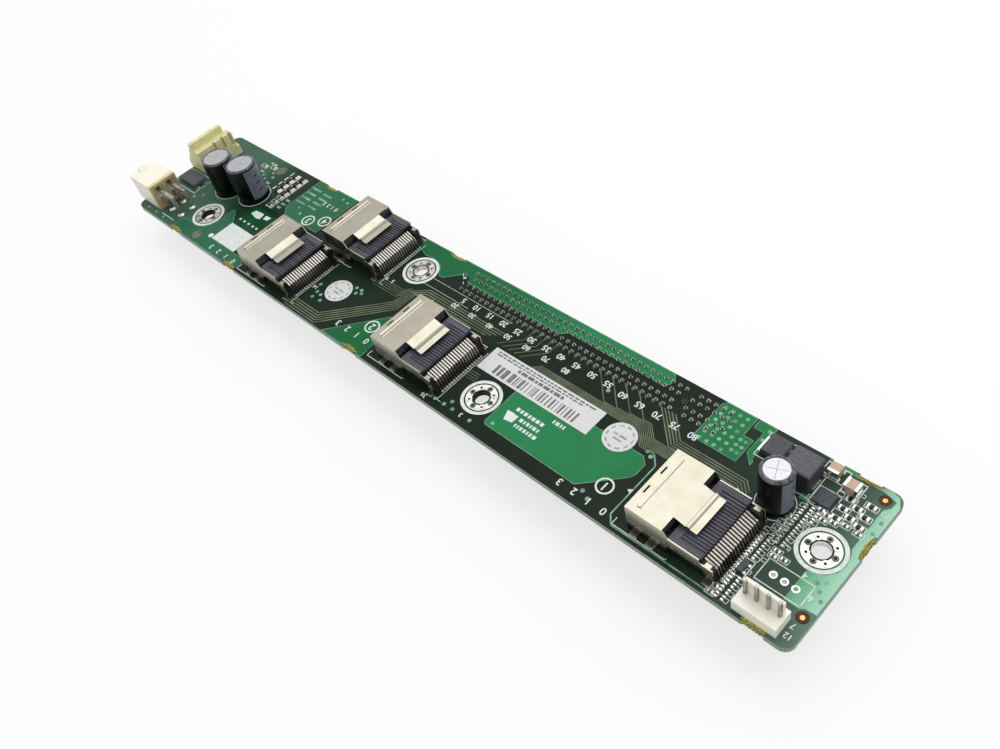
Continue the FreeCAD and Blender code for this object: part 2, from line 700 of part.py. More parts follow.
def chip(parts, ends, kind, x, y, upright=False):
    # One chip: a body between two end caps, lying along X or along Y
    edges = ["-%s_length / 2" % kind, "%s_end - %s_length / 2" % (kind, kind),
             "%s_length / 2 - %s_end" % (kind, kind), "%s_length / 2" % kind]
    across = ["-%s_width / 2" % kind, "%s_width / 2" % kind]
    made = []
    for owner, spans in ((parts, ((1, 2),)), (ends, ((0, 1), (2, 3)))):
        outlines = []
        for a, b in spans:
            if upright:
                outlines.append(rect(x + " + " + across[0], y + " + " + edges[a],
                                     x + " + " + across[1], y + " + " + edges[b]))
            else:
                outlines.append(rect(x + " + " + edges[a], y + " + " + across[0],
                                     x + " + " + edges[b], y + " + " + across[1]))
        made.append(pad(owner, "XY_Plane", outlines, "%s_height" % kind))
    return made


# Tan ceramic capacitors at the back right
ceramic = body("ceramic_capacitor_bodies", "0", BACK, TOP)
ceramic_ends = body("ceramic_capacitor_ends", "0", BACK, TOP)
chip(ceramic, ceramic_ends, "ceramic", "-7.5", "-2.8", True)
chip(ceramic, ceramic_ends, "ceramic", "-2.7", "-4.6")

# Eight larger chip resistors in two columns at the back left
sense = body("sense_resistor_bodies", LEFT, BACK, TOP)
sense_ends = body("sense_resistor_ends", LEFT, BACK, TOP)
for column in ("38.2", "38.2 + sense_pitch_x"):
    pair = chip(sense, sense_ends, "sense", column, "-11")
    for owner, feature in zip((sense, sense_ends), pair):
        repeat(owner, feature, "Y_Axis", "4", "sense_pitch_y")

# Mid-size chips: by the right fiducial and below the left resistors
mid = body("chip_resistor_bodies", "0", "0", TOP)
mid_ends = body("chip_resistor_ends", "0", "0", TOP)
for x, y in (("-1.8", "13.4"), ("-1.8", "10.6"), ("-1.8", "7.8"), ("0.4", "12.2"), ("0.4", "9.4"),
             ("2.4", "14.2"), ("2.6", "11.2"), ("2.8", "8.6"),
             (LEFT + " + 23.6", "14.6"), (LEFT + " + 27.4", "15.6")):
    chip(mid, mid_ends, "chip", x, y)
group = chip(mid, mid_ends, "chip", LEFT + " + 42.4", "2.9")
for owner, feature in zip((mid, mid_ends), group):
    repeat(owner, feature, "Y_Axis", "3", "2.1")

# Rows of the smallest chips round the control chip, the ports and the four-pin header
small = body("chip_capacitor_bodies", "0", "0", TOP)
small_ends = body("chip_capacitor_ends", "0", "0", TOP)
grid = (
    ("-7.9", "-3.5", "7"),
    ("-7.9 + small_pitch_x", "-3.5", "7"),
    ("-7.9 + small_pitch_x * 2", "4.4", "2"),
    ("-10.7", "-9.3", "4"),
    ("-10.7 + small_pitch_x", "-9.3", "5"),
    ("-10.2", FRONT + " + 1.6", "4"),
    ("-10.2 + small_pitch_x", FRONT + " + 1.6", "4"),
)
for x, y, count in grid:
    pair = chip(small, small_ends, "small", x, y, True)
    for owner, feature in zip((small, small_ends), pair):
        repeat(owner, feature, "Y_Axis", count, "small_pitch_y")

# Paper label
label = body("barcode_label", "label_x", "label_y", TOP)
pad(label, "XY_Plane",
    [rect("-label_length / 2", "-label_width / 2", "label_length / 2", "label_width / 2")], "paper")

doc.recompute()

# Check every object, then write one file for each sub-part
for item in doc.Objects:
    if "Invalid" in item.State or "Error" in item.State:
        raise RuntimeError("%s is %s" % (item.Label, item.State))
os.makedirs("parts", exist_ok=True)
for item in doc.Objects:
    if item.TypeId != "PartDesign::Body":
        continue
    if item.Shape.isNull() or not item.Shape.isValid():
        raise RuntimeError("%s has no valid shape" % item.Label)
    item.Shape.exportStep("parts/%s.step" % item.Label)
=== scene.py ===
import json
import math
import random

import bmesh
import bpy
from mathutils import Matrix, Vector


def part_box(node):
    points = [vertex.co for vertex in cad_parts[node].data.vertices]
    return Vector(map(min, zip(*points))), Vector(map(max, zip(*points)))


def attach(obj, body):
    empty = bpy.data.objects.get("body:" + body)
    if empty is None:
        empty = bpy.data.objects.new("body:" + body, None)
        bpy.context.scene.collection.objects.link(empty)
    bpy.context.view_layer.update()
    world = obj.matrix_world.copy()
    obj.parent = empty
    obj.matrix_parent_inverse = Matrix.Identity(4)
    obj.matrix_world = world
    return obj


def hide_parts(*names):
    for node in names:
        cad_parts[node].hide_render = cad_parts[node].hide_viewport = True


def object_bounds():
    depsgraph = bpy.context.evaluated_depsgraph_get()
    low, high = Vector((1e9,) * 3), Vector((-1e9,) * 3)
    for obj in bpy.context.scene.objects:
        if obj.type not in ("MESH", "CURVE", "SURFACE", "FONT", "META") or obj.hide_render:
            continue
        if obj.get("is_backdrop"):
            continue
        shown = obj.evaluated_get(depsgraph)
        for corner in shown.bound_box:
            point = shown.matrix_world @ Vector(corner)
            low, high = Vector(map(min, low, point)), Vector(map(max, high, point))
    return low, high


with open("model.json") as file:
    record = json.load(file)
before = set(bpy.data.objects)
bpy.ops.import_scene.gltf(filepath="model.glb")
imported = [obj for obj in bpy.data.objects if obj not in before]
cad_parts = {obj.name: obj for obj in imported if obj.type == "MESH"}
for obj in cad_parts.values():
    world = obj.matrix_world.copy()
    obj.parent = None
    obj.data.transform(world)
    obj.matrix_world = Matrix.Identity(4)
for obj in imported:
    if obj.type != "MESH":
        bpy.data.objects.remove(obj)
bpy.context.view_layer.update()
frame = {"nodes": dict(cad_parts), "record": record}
nodes = frame["nodes"]

# Circuit board
# A sheet of glass cloth in epoxy with copper on both faces, coated in a glossy dark green solder mask.
# It is routed out of a larger panel, so its cut sides show the bare grey-green laminate, lightened as a
# painted highlight.
MM = 0.001  # sizes and places below are in millimetres
TOP = 1.6  # the board's upper face
LEFT_END = -238.0
RIGHT_END = 7.0


def linear(code):
    parts = [int(code[i:i + 2], 16) / 255 for i in (1, 3, 5)]
    return tuple(c / 12.92 if c <= 0.04045 else ((c + 0.055) / 1.055) ** 2.4 for c in parts) + (1.0,)


def add(tree, kind, values=None, links=None, **settings):
    made = tree.nodes.new(kind)
    for key, value in settings.items():
        setattr(made, key, value)
    for key, value in (values or {}).items():
        made.inputs[key].default_value = value
    for key, source in (links or {}).items():
        tree.links.new(source, made.inputs[key])
    return made


def finish(name, values):
    made = bpy.data.materials.new(name)
    made.use_nodes = True
    tree = made.node_tree
    tree.nodes.clear()
    shader = add(tree, "ShaderNodeBsdfPrincipled", values)
    add(tree, "ShaderNodeOutputMaterial", links={"Surface": shader.outputs[0]})
    return made, tree, shader


def shades(node, stops):
    # Colour stops of a ramp: (position, sRGB hex)
    ramp = node.color_ramp
    while len(ramp.elements) < len(stops):
        ramp.elements.new(0.5)
    for element, (position, code) in zip(ramp.elements, stops):
        element.position = position
        element.color = linear(code)


def dress(material, *names):
    # CAD nodes that keep their shape and take this material
    for name in names:
        nodes[name].material_slots[0].material = material


# Epoxy solder mask over laminate: deep green and glossy, the cloth's 0.5 mm weave just showing.
# The mask reads greener at the left end, over fuller copper layers inside the card, and its paler right end
# is painted glare.
WEAVE = 0.314 / (0.5 * MM)  # a wave node's bands lie 0.314 / scale apart
mask, tree, shader = finish("solder_mask_on_glass_epoxy", {"IOR": 1.5, "Specular IOR Level": 0.1})
place = add(tree, "ShaderNodeTexCoord")
spot = add(tree, "ShaderNodeSeparateXYZ", links={"Vector": place.outputs["Object"]})
along = add(tree, "ShaderNodeMapRange", {"From Min": LEFT_END * MM, "From Max": RIGHT_END * MM},
            {"Value": spot.outputs["X"]})
# Colour along the card: the pale right end is painted glare
tone_with_glare = add(tree, "ShaderNodeValToRGB", links={"Fac": along.outputs["Result"]})
shades(tone_with_glare, [(0.0, "#48654f"), (0.105, "#3a6450"), (0.145, "#1d3a29"), (0.2, "#14291b"), (0.5, "#15271a"),
               (0.72, "#121c13"), (0.83, "#1a261d"), (0.92, "#2a3b31"), (0.97, "#3d5348"),
               (1.0, "#5f7a6e")])
cloud = add(tree, "ShaderNodeTexNoise", {"Scale": 1 / (6 * MM), "Detail": 3.0, "Roughness": 0.55},
            {"Vector": place.outputs["Object"]})
mottle = add(tree, "ShaderNodeMapRange", {"To Min": 0.78, "To Max": 1.22}, {"Value": cloud.outputs["Fac"]})
tone = add(tree, "ShaderNodeVectorMath", {}, {0: tone_with_glare.outputs["Color"], "Scale": mottle.outputs["Result"]},
           operation="SCALE")
warp, weft = [add(tree, "ShaderNodeTexWave", {"Scale": WEAVE, "Distortion": 0.6},
                  {"Vector": place.outputs["Object"]}, bands_direction=way) for way in ("X", "Y")]
cloth = add(tree, "ShaderNodeMath", {}, {0: warp.outputs["Fac"], 1: weft.outputs["Fac"]}, operation="ADD")
face = add(tree, "ShaderNodeNewGeometry")
parts = add(tree, "ShaderNodeSeparateXYZ", links={"Vector": face.outputs["True Normal"]})
level = add(tree, "ShaderNodeMath", {}, {0: parts.outputs["Z"]}, operation="ABSOLUTE")
flat = add(tree, "ShaderNodeMath", {1: 0.5}, {0: level.outputs[0]}, operation="GREATER_THAN")
glass = add(tree, "ShaderNodeTexNoise", {"Scale": 1 / (0.3 * MM), "Detail": 2.0},
            {"Vector": place.outputs["Object"]})
# Cut sides: bare laminate colour, lightened as a painted highlight along the edges
cut = add(tree, "ShaderNodeValToRGB", links={"Fac": glass.outputs["Fac"]})
shades(cut, [(0.35, "#76877a"), (0.7, "#a8b8aa")])
colour = add(tree, "ShaderNodeMix", {},
             {0: flat.outputs[0], 6: cut.outputs["Color"], 7: tone.outputs["Vector"]}, data_type="RGBA")
tree.links.new(colour.outputs[2], shader.inputs["Base Color"])
sheen = add(tree, "ShaderNodeMapRange", {"To Min": 0.26, "To Max": 0.42}, {"Value": cloud.outputs["Fac"]})
tree.links.new(sheen.outputs["Result"], shader.inputs["Roughness"])
bump = add(tree, "ShaderNodeBump", {"Strength": 0.08, "Distance": 0.02 * MM}, {"Height": cloth.outputs[0]})
tree.links.new(bump.outputs["Normal"], shader.inputs["Normal"])
dress(mask, "circuit_board")

# Break-off tab stubs
# The card was held in its panel by perforated tabs. Snapping them leaves a ragged row of bare laminate nubs
# in each shallow notch, and a rubbed half-moon of bare glass epoxy on the face beside it.
FILM = TOP + 0.012  # top of a thin layer that lies on the board
NOTCH = 0.4
NUBS = 7
NUB_PITCH = 0.75
MOON_REACH = 2.9


def mottled(name, values, size, stops, detail=2.0, sheen=None, relief=None):
    # A finish toned by cloudy noise of one real size in mm, on Object coordinates.
    # The same noise can vary the roughness over a range and lift a relief of (strength, depth in mm).
    made, tree, shader = finish(name, values)
    place = add(tree, "ShaderNodeTexCoord")
    cloud = add(tree, "ShaderNodeTexNoise", {"Scale": 1 / (size * MM), "Detail": detail},
                {"Vector": place.outputs["Object"]})
    tone = add(tree, "ShaderNodeValToRGB", links={"Fac": cloud.outputs["Fac"]})
    shades(tone, stops)
    tree.links.new(tone.outputs["Color"], shader.inputs["Base Color"])
    if sheen:
        gloss = add(tree, "ShaderNodeMapRange", {"To Min": sheen[0], "To Max": sheen[1]},
                    {"Value": cloud.outputs["Fac"]})
        tree.links.new(gloss.outputs["Result"], shader.inputs["Roughness"])
    if relief:
        bump = add(tree, "ShaderNodeBump", {"Strength": relief[0], "Distance": relief[1] * MM},
                   {"Height": cloud.outputs["Fac"]})
        tree.links.new(bump.outputs["Normal"], shader.inputs["Normal"])
    return made


def extent(node):
    # A node's lowest and highest corners in millimetres
    low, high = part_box(node)
    return low / MM, high / MM


def put(name, bm, material):
    bmesh.ops.recalc_face_normals(bm, faces=bm.faces)
    mesh = bpy.data.meshes.new(name)
    bm.to_mesh(mesh)
    bm.free()
    piece = bpy.data.objects.new(name, mesh)
    bpy.context.scene.collection.objects.link(piece)
    piece.data.materials.append(material)
    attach(piece, "root")
    return piece


def bar(bm, x0, y0, x1, y1, width, low, high):
    run = Vector((x1 - x0, y1 - y0))
    middle = Matrix.Translation(Vector(((x0 + x1) / 2, (y0 + y1) / 2, (low + high) / 2)) * MM)
    turn = Matrix.Rotation(math.atan2(run.y, run.x), 4, "Z")
    size = Matrix.Diagonal((run.length * MM, width * MM, (high - low) * MM, 1.0))
    bmesh.ops.create_cube(bm, size=1.0, matrix=middle @ turn @ size)


def verts_of(items):
    return [item for item in items if isinstance(item, bmesh.types.BMVert)]


def patch(bm, outline, low, high):
    corners = [bm.verts.new(Vector((x, y, low)) * MM) for x, y in outline]
    base = bm.faces.new(corners)
    top = bmesh.ops.extrude_face_region(bm, geom=[base])
    bmesh.ops.translate(bm, verts=verts_of(top["geom"]), vec=Vector((0, 0, high - low)) * MM)


# Bare glass epoxy: dry, straw yellow, with pale broken fibres about 0.4 mm long.
laminate = mottled("broken_glass_epoxy", {"IOR": 1.5, "Roughness": 0.75}, size=0.4, detail=4.0,
                   stops=[(0.36, "#6f6b1c"), (0.66, "#cdc25c")], relief=(0.6, 0.08))

board_low, board_high = extent("circuit_board")
shake = random.Random(3)
bm = bmesh.new()
tabs = [board_low.x + 23.2, board_low.x + 54.0, -125.6, -1.0]
spots = [(x, board_low.y, 1, False) for x in tabs]
spots += [(x, board_high.y, -1, False) for x in tabs[1:]]
spots += [(5.6, board_high.x, -1, True)]
for along, edge, inward, upright in spots:
    for i in range(NUBS):
        s = along + NUB_PITCH * (i - 3)
        reach = 0.18 + 0.2 * shake.random()
        ends = [s - 0.24, edge + inward * NOTCH, s + 0.2 + 0.08 * shake.random(), edge + inward * NOTCH]
        tall = 1.1 + 0.35 * shake.random()
        if upright:
            ends = [ends[1], ends[0], ends[3], ends[2]]
        bar(bm, *ends, reach * 2, 0.2 + 0.3 * shake.random(), tall)
    moon = []
    for i in range(13):
        angle = math.pi * i / 12
        depth = 0.42 + (0.75 + 0.12 * shake.random()) * math.sin(angle)
        moon.append((along - MOON_REACH * math.cos(angle), edge + inward * depth))
    if upright:
        moon = [(y, x) for x, y in moon]
    patch(bm, moon, TOP - 0.1, FILM)
put("tab_stubs", bm, laminate)

# Copper pours
# Broad areas of copper left on the face for ground and power. The mask over them is thinner and backed by
# bright metal, so they read as a clearer green than bare laminate, with a pale line along the etched edge.
POUR = TOP + 0.008

# Solder mask over copper: clear green, slightly uneven every 5 mm, and paler towards the right end of the
# card as painted glare.
pour, tree, shader = finish("solder_mask_on_copper", {"IOR": 1.5, "Specular IOR Level": 0.1})
place = add(tree, "ShaderNodeTexCoord")
spot = add(tree, "ShaderNodeSeparateXYZ", links={"Vector": place.outputs["Object"]})
along = add(tree, "ShaderNodeMapRange", {"From Min": LEFT_END * MM, "From Max": RIGHT_END * MM},
            {"Value": spot.outputs["X"]})
# Colour along the card: the near-white right end is painted glare
tone_with_glare = add(tree, "ShaderNodeValToRGB", links={"Fac": along.outputs["Result"]})
shades(tone_with_glare, [(0.0, "#2b6648"), (0.2, "#2f6a4c"), (0.3, "#276a47"), (0.4, "#19663a"), (0.56, "#1d6c40"),
               (0.66, "#268150"), (0.86, "#247a45"), (0.965, "#2f9258"), (0.998, "#a6d6bb")])
cloud = add(tree, "ShaderNodeTexNoise", {"Scale": 1 / (5 * MM), "Detail": 4.0},
            {"Vector": place.outputs["Object"]})
mottle = add(tree, "ShaderNodeMapRange", {"To Min": 0.85, "To Max": 1.12}, {"Value": cloud.outputs["Fac"]})
tone = add(tree, "ShaderNodeVectorMath", {}, {0: tone_with_glare.outputs["Color"], "Scale": mottle.outputs["Result"]},
           operation="SCALE")
tree.links.new(tone.outputs["Vector"], shader.inputs["Base Color"])
sheen = add(tree, "ShaderNodeMapRange", {"To Min": 0.24, "To Max": 0.38}, {"Value": cloud.outputs["Fac"]})
tree.links.new(sheen.outputs["Result"], shader.inputs["Roughness"])
# Mask over a bare pad or an etched edge: pale green, since the copper under it is brightest there.
via = mottled("mask_over_bright_copper", {"IOR": 1.5, "Roughness": 0.3, "Specular IOR Level": 0.3},
              size=2, stops=[(0.3, "#4c8a68"), (0.7, "#93bda6")])
# Thicker mask over a sunk copper area: darker and more saturated.
deep = mottled("thick_mask_on_copper", {"IOR": 1.5, "Roughness": 0.32, "Specular IOR Level": 0.2},
               size=4, stops=[(0.3, "#0a3a20"), (0.7, "#12502d")])


def trace(bm, path, width, high):
    # A line of one width from point to point on the board
    for a, b in zip(path, path[1:]):
        bar(bm, *a, *b, width, TOP, high)


pours = [
    [(-78.6, -5.8), (-78.6, -17.0), (-77.8, -17.9), (-49.6, -17.9), (-41.0, -9.2), (-40.4, -8.0),
     (-40.4, -4.6), (-42.2, -3.0), (-56.6, -3.0), (-56.6, -5.8)],
    [(-137.5, -21.85), (-124.5, -7.4), (-123.4, -7.4), (-120.6, -18.6), (-120.6, -21.85), (-122.6, -21.85),
     (-122.6, -21.2), (-128.6, -21.2), (-128.6, -21.85)],
    [(-139.4, 19.85), (-139.4, 16.6), (-134.4, 14.9), (-132.0, 15.3), (-127.6, 14.2), (-125.0, 11.2),
     (-123.6, 11.2), (-120.2, 14.6), (-118.6, 16.2), (-118.4, 13.9), (-82.4, 13.9), (-80.6, 15.4),
     (-51.4, 15.4), (-50.0, 16.6), (-50.0, 18.6), (-50.9, 19.85), (-122.6, 19.85), (-122.6, 19.3),
     (-128.6, 19.3), (-128.6, 19.85)],
    [(-37.0, 18.8), (-36.2, 19.85), (-28.2, 19.85), (-28.2, 14.3), (-25.6, 14.3), (-25.6, 7.6), (-36.4, 7.6),
     (-37.0, 8.4)],
    [(-27.6, 19.85), (-27.6, 17.4), (-25.0, 17.4), (-25.0, 11.0), (-22.6, 8.6), (-22.6, 9.6), (-23.2, 10.2),
     (-23.2, 19.85)],
    [(-190.4, 19.85), (-190.4, 5.6), (-187.6, 2.9), (-171.6, 2.9), (-171.6, 19.85), (-181.0, 19.85),
     (-181.0, 19.3), (-187.0, 19.3), (-187.0, 19.85)],
    [(-204.8, -9.0), (-204.8, -5.2), (-203.6, -5.2), (-199.8, -9.0), (-199.8, -17.5), (-181.0, -17.5),
     (-181.0, -21.2), (-187.2, -21.2), (-187.2, -21.85), (-211.6, -21.85), (-211.6, -21.2), (-217.0, -21.2),
     (-217.0, -17.6), (-214.6, -16.2), (-210.6, -17.0), (-206.4, -15.4), (-204.8, -12.4)],
    [(0.2, -13.2), (0.2, -5.6), (1.6, -5.2), (3.6, -4.2), (5.0, -2.4), (5.5, 0.0), (5.0, 2.4), (4.4, 3.6),
     (4.4, 15.0), (5.4, 16.2), (5.6, 18.0), (2.6, 18.9), (-10.2, 18.9), (-10.2, 19.85), (-4.1, 19.85),
     (-4.1, 19.25), (2.1, 19.25), (2.1, 19.85), (4.0, 19.85), (5.6, 19.3), (6.85, 17.2), (6.85, 8.7),
     (6.3, 8.7), (6.3, 2.5), (6.85, 2.5), (6.85, -12.4), (4.4, -12.6), (3.6, -13.2)],
    [(-10.2, 7.9), (-10.2, 16.2), (-9.5, 16.2), (-9.5, 8.5), (-7.9, 8.5), (-7.9, 7.9)],
]
bm = bmesh.new()
edges = bmesh.new()
for outline in pours:
    patch(bm, outline, TOP, POUR)
    trace(edges, outline + outline[:1], 0.13, FILM)
put("copper_pours", bm, pour)
put("pour_edges", edges, via)
bm = bmesh.new()
patch(bm, [(-199.6, 0.2), (-199.6, -8.9), (-188.0, -8.9), (-188.0, 0.2)], TOP, POUR)
put("sunk_pour", bm, deep)

# Copper tracks
# Matched bundles of fine tracks run from the ports to the slot, etched in the same copper as the pours.
# Under the mask each one shows as a thin olive line.
LONG_TRACK = 0.32  # widths, drawn a little wide so that they show
LANE_TRACK = 0.2
SHORT_TRACK = 0.18
track = mottled("solder_mask_on_fine_tracks", {"IOR": 1.5, "Specular IOR Level": 0.3, "Roughness": 0.32},
                size=4, detail=3.0, stops=[(0.3, "#4f5c45"), (0.7, "#7b8566")])

bm = bmesh.new()
for i in range(9):
    # To port 1's back corner: five from behind the label and four down from the slot's contacts
    y = 1.6 + 0.42 * i
    start = [(-81.0 + 0.5 * i, y)] if i < 5 else [(-86.0 + 4.0 * i, 10.4), (-75.6 + 4.0 * i - y, y)]
    bend = -47.6 + 0.174 * i
    end = -42.8 if i < 2 else -37.4
    trace(bm, start + [(bend, y), (bend + 3.0, y - 3.0), (end, y - 3.0)], LANE_TRACK, FILM)
long_runs = []
short_runs = []
for i in range(5):
    # Along the front edge from port 3, up the diagonal and on beside the slot
    s = 0.8 * i
    long_runs.append([(-155.6, -21.3 + s), (-141.6 - 0.55 * s, -21.3 + s),
                      (-125.4 - 0.9 * s, -4.6 + 0.45 * s), (-125.1 - 0.8 * s, 2.2),
                      (-121.4 - 0.4 * s, 2.6 + s), (-98.0 + 1.5 * s, 2.6 + s)])
    # From port 4's foot to the same run
    s = 0.75 * i
    short_runs.append([(-138.0 - 0.4 * s, 1.6 - s), (-129.2 - 0.1 * s, 1.6 - s), (-127.6, 3.4 - 0.9 * s)])
    # From the slot's short section round port 1's back
    x = -0.3 * i
    y = 5.0 - 0.68 * i
    long_runs.append([(-43.6 - 1.02 * i, 10.4), (-38.2 + x, y), (-20.8 + x, y), (-18.6 + x, y - 2.2)])
    # Up from port 2's tails to the slot
    x = -88.4 + 2.0 * i
    short_runs.append([(x - 5.2, 2.4), (x, 7.4), (x, 10.6)])
for i in range(4):
    # Stubs behind port 2's tails
    short_runs.append([(-93.0, -7.8 - 0.75 * i), (-89.4 + 0.2 * i, -7.8 - 0.75 * i)])
for i in range(34):
    # Short fan-out at each inner contact of the slot
    x = -114.8 + 2.0 * i
    short_runs.append([(x, 11.0), (x + 0.9, 10.0)])
for path in long_runs:
    trace(bm, path, LONG_TRACK, FILM)
for path in short_runs:
    trace(bm, path, SHORT_TRACK, FILM)
put("copper_tracks", bm, track)
bm = bmesh.new()
guard = [(-41.8, -1.0), (-40.6, -1.2), (-38.4, -3.6), (-38.4, -18.8), (-36.6, -20.9), (-12.0, -20.9)]
trace(bm, guard, 0.34, FILM)
put("guard_track", bm, via)

# Via holes
# Tented plated holes of about 0.6 mm that stitch the pours to the inner layers.
# The mask domes over each one as a small pale green bump.
UNUSED_PAD = TOP + 0.014


def disc(bm, x, y, z, foot, head, depth, segments):
    # A low cone about a middle height z, from its foot radius to its head radius
    bmesh.ops.create_cone(bm, cap_ends=True, segments=segments, radius1=foot * MM, radius2=head * MM,
                          depth=depth * MM, matrix=Matrix.Translation(Vector((x, y, z)) * MM))


stitches = [(-35.6 + 1.9 * i, 18.4 - 2.0 * k) for i in range(4) for k in range(6)]
stitches += [(-28.0 + 1.4 * i, 13.0 - 1.7 * k) for i in range(2) for k in range(3)]
stitches += [(-233.0 + 4.6 * i, -20.6) for i in range(3)]
stitches += [
    (-90.5, -19.5), (-87.6, -19.4), (-89.3, -17.8), (-81.6, -19.4), (-93.6, -19.6), (-47.0, -18.0),
    (-44.8, -19.0), (-76.4, -16.6), (-60.6, 6.8), (-42.2, -1.4), (-40.8, -2.2), (-22.8, 13.4), (-24.2, 15.6),
    (-24.2, 18.4), (-152.0, -10.5), (-150.5, -13.0), (-148.6, -13.2), (-147.0, -14.8), (-150.2, -15.0),
    (-141.6, -5.4), (-139.6, -5.3), (-140.2, -7.0), (-138.6, -6.2), (-186.0, 7.4), (-183.4, 5.8),
    (-176.2, 17.8), (-173.6, 17.4), (-211.0, 11.4), (-209.0, 10.4), (-206.8, 12.2), (-208.6, 13.8),
    (-211.8, 9.4), (-223.4, -8.6), (-221.0, -6.6), (4.5, -8.0), (5.8, -9.6), (3.2, -6.6), (4.6, -5.6),
    (5.6, 9.0), (5.7, 12.0), (2.0, -7.0),
]
bm = bmesh.new()
for x, y in stitches:
    disc(bm, x, y, TOP + 0.01, 0.55, 0.4, 0.02, 14)
for i in range(4):
    # Unused pads left under the mask in the back pour
    bar(bm, -190.0, 16.3 - 2.3 * i, -185.6, 16.3 - 2.3 * i, 0.75, TOP, UNUSED_PAD)
    bar(bm, -184.2, 16.1 - 2.15 * i, -180.2, 16.1 - 2.15 * i, 0.7, TOP, UNUSED_PAD)
for x, y in ((-213.0, 16.9), (-211.4, 16.9), (-213.0, 12.4), (-206.0, 9.6), (-192.2, 7.6), (-192.2, 5.7),
             (-192.2, 3.9)):
    bar(bm, x - 0.9, y, x + 0.9, y, 0.9, TOP, UNUSED_PAD)
put("stitching_vias", bm, via)

# Mounting-hole pads
# Each fixing hole has a round tinned pad that earths the card to its screw, drilled with eight small vias.
# Four of the vias are ringed with olive mask, and a dark ring of painted shade lies round the rim of the
# hole.
BORE = 2.02  # radii
RIM = 2.06
SHADE_RING = 2.42
PAD = 4.05
VIA_CIRCLE = 3.05
VIA_HOLE = 0.32
PAD_TOP = TOP + 0.02
SHADE_RING_TOP = TOP + 0.03


def ring(bm, x, y, inner, outer, low, high, steps=48, start=0.0, sweep=math.tau):
    section = [(inner, low), (outer, low), (outer, high), (inner, high)]
    corners = [bm.verts.new(Vector((x + r * math.cos(start), y + r * math.sin(start), z)) * MM)
               for r, z in section]
    loop = [bm.edges.new((corners[i], corners[(i + 1) % 4])) for i in range(4)]
    whole = abs(sweep - math.tau) < 1e-6
    if not whole:
        bm.faces.new(corners)
    made = bmesh.ops.spin(bm, geom=corners + loop, cent=Vector((x, y, 0)) * MM, axis=(0, 0, 1), angle=sweep,
                          steps=steps, use_merge=whole)
    if not whole:
        bm.faces.new(verts_of(made["geom_last"]))


# Hot-air levelled solder: bright, silvery, frozen in soft swells about 1 mm across.
tin = mottled("hot_air_levelled_tin", {"Metallic": 1.0}, size=1.1, detail=3.0,
              stops=[(0.3, "#b4b4aa"), (0.7, "#e6e6e0")], sheen=(0.2, 0.4), relief=(0.6, 0.12))
# Wave solder: silver grey, duller than a levelled pad, each joint a little different from the next.
waved = mottled("wave_soldered_tin", {"Metallic": 1.0}, size=1.6,
                stops=[(0.3, "#787a75"), (0.7, "#bcbdb7")], sheen=(0.24, 0.45))
# Drilled via barrels: nearly black, since light is lost in them.
barrel = mottled("shadowed_via_barrel", {"Roughness": 0.6, "Specular IOR Level": 0.2}, size=0.5,
                 stops=[(0.3, "#0b0f0c"), (0.7, "#22261f")])

mounts = [(fixing["pos_m"][0] / MM, fixing["pos_m"][1] / MM)
          for fixing in frame["record"]["mounts"] if fixing["kind"] == "bore"]
pads = bmesh.new()
plating = bmesh.new()
mask_rings = bmesh.new()
dark = bmesh.new()
for x, y in mounts:
    ring(pads, x, y, BORE, PAD, TOP, PAD_TOP)
    ring(pads, x, y, BORE, PAD, -0.02, 0.0)
    # The bores near the front edge take the near-black barrel colour as painted shade
    ring(dark if y < -5 else plating, x, y, 1.99, RIM, -0.02, PAD_TOP)
    # Dark ring round the rim of the hole: painted shade of the bore
    ring(dark, x, y, RIM, SHADE_RING, PAD_TOP, SHADE_RING_TOP)
    for i in range(8):
        angle = math.tau * i / 8
        cx = x + VIA_CIRCLE * math.cos(angle)
        cy = y + VIA_CIRCLE * math.sin(angle)
        if i % 2 == 0:
            ring(mask_rings, cx, cy, VIA_HOLE, 0.74, PAD_TOP, TOP + 0.06, 16)
        else:
            ring(plating, cx, cy, VIA_HOLE, 0.78, TOP + 0.01, TOP + 0.1, 16)
        disc(dark, cx, cy, TOP + 0.03, 0.34, 0.3, 0.02, 14)
put("mounting_pads", pads, tin)
put("mounting_hole_plating", plating, tin)
put("pad_mask_rings", mask_rings, track)
put("pad_via_barrels", dark, barrel)

# White print
# Epoxy ink screened over the mask: rings at the fixing holes, outlines of the parts, port and lane numbers,
# and the contact numbers along the slot. It is slightly raised, with soft worn edges.
INK = TOP + 0.03
BROAD_LINE = 0.2
PORTS = ("port_1", "port_2", "port_3", "port_4")
# Printed epoxy: off-white, matt, thinned in specks about 0.6 mm across.
ink = mottled("white_epoxy_print", {"IOR": 1.5, "Roughness": 0.55, "Specular IOR Level": 0.3}, size=0.6,
              detail=4.0, stops=[(0.3, "#ccd6d0"), (0.6, "#e8eeea")])

bm = bmesh.new()
for x, y in mounts:
    ring(bm, x, y, 4.42, 5.3, TOP, INK, 64)
put("print_fixing_rings", bm, ink)


def box(bm, x0, y0, x1, y1, width):
    # A printed outline, square at its corners
    for y in (y0, y1):
        bar(bm, x0 - width / 2, y, x1 + width / 2, y, width, TOP, INK)
    for x in (x0, x1):
        bar(bm, x, y0, x, y1, width, TOP, INK)


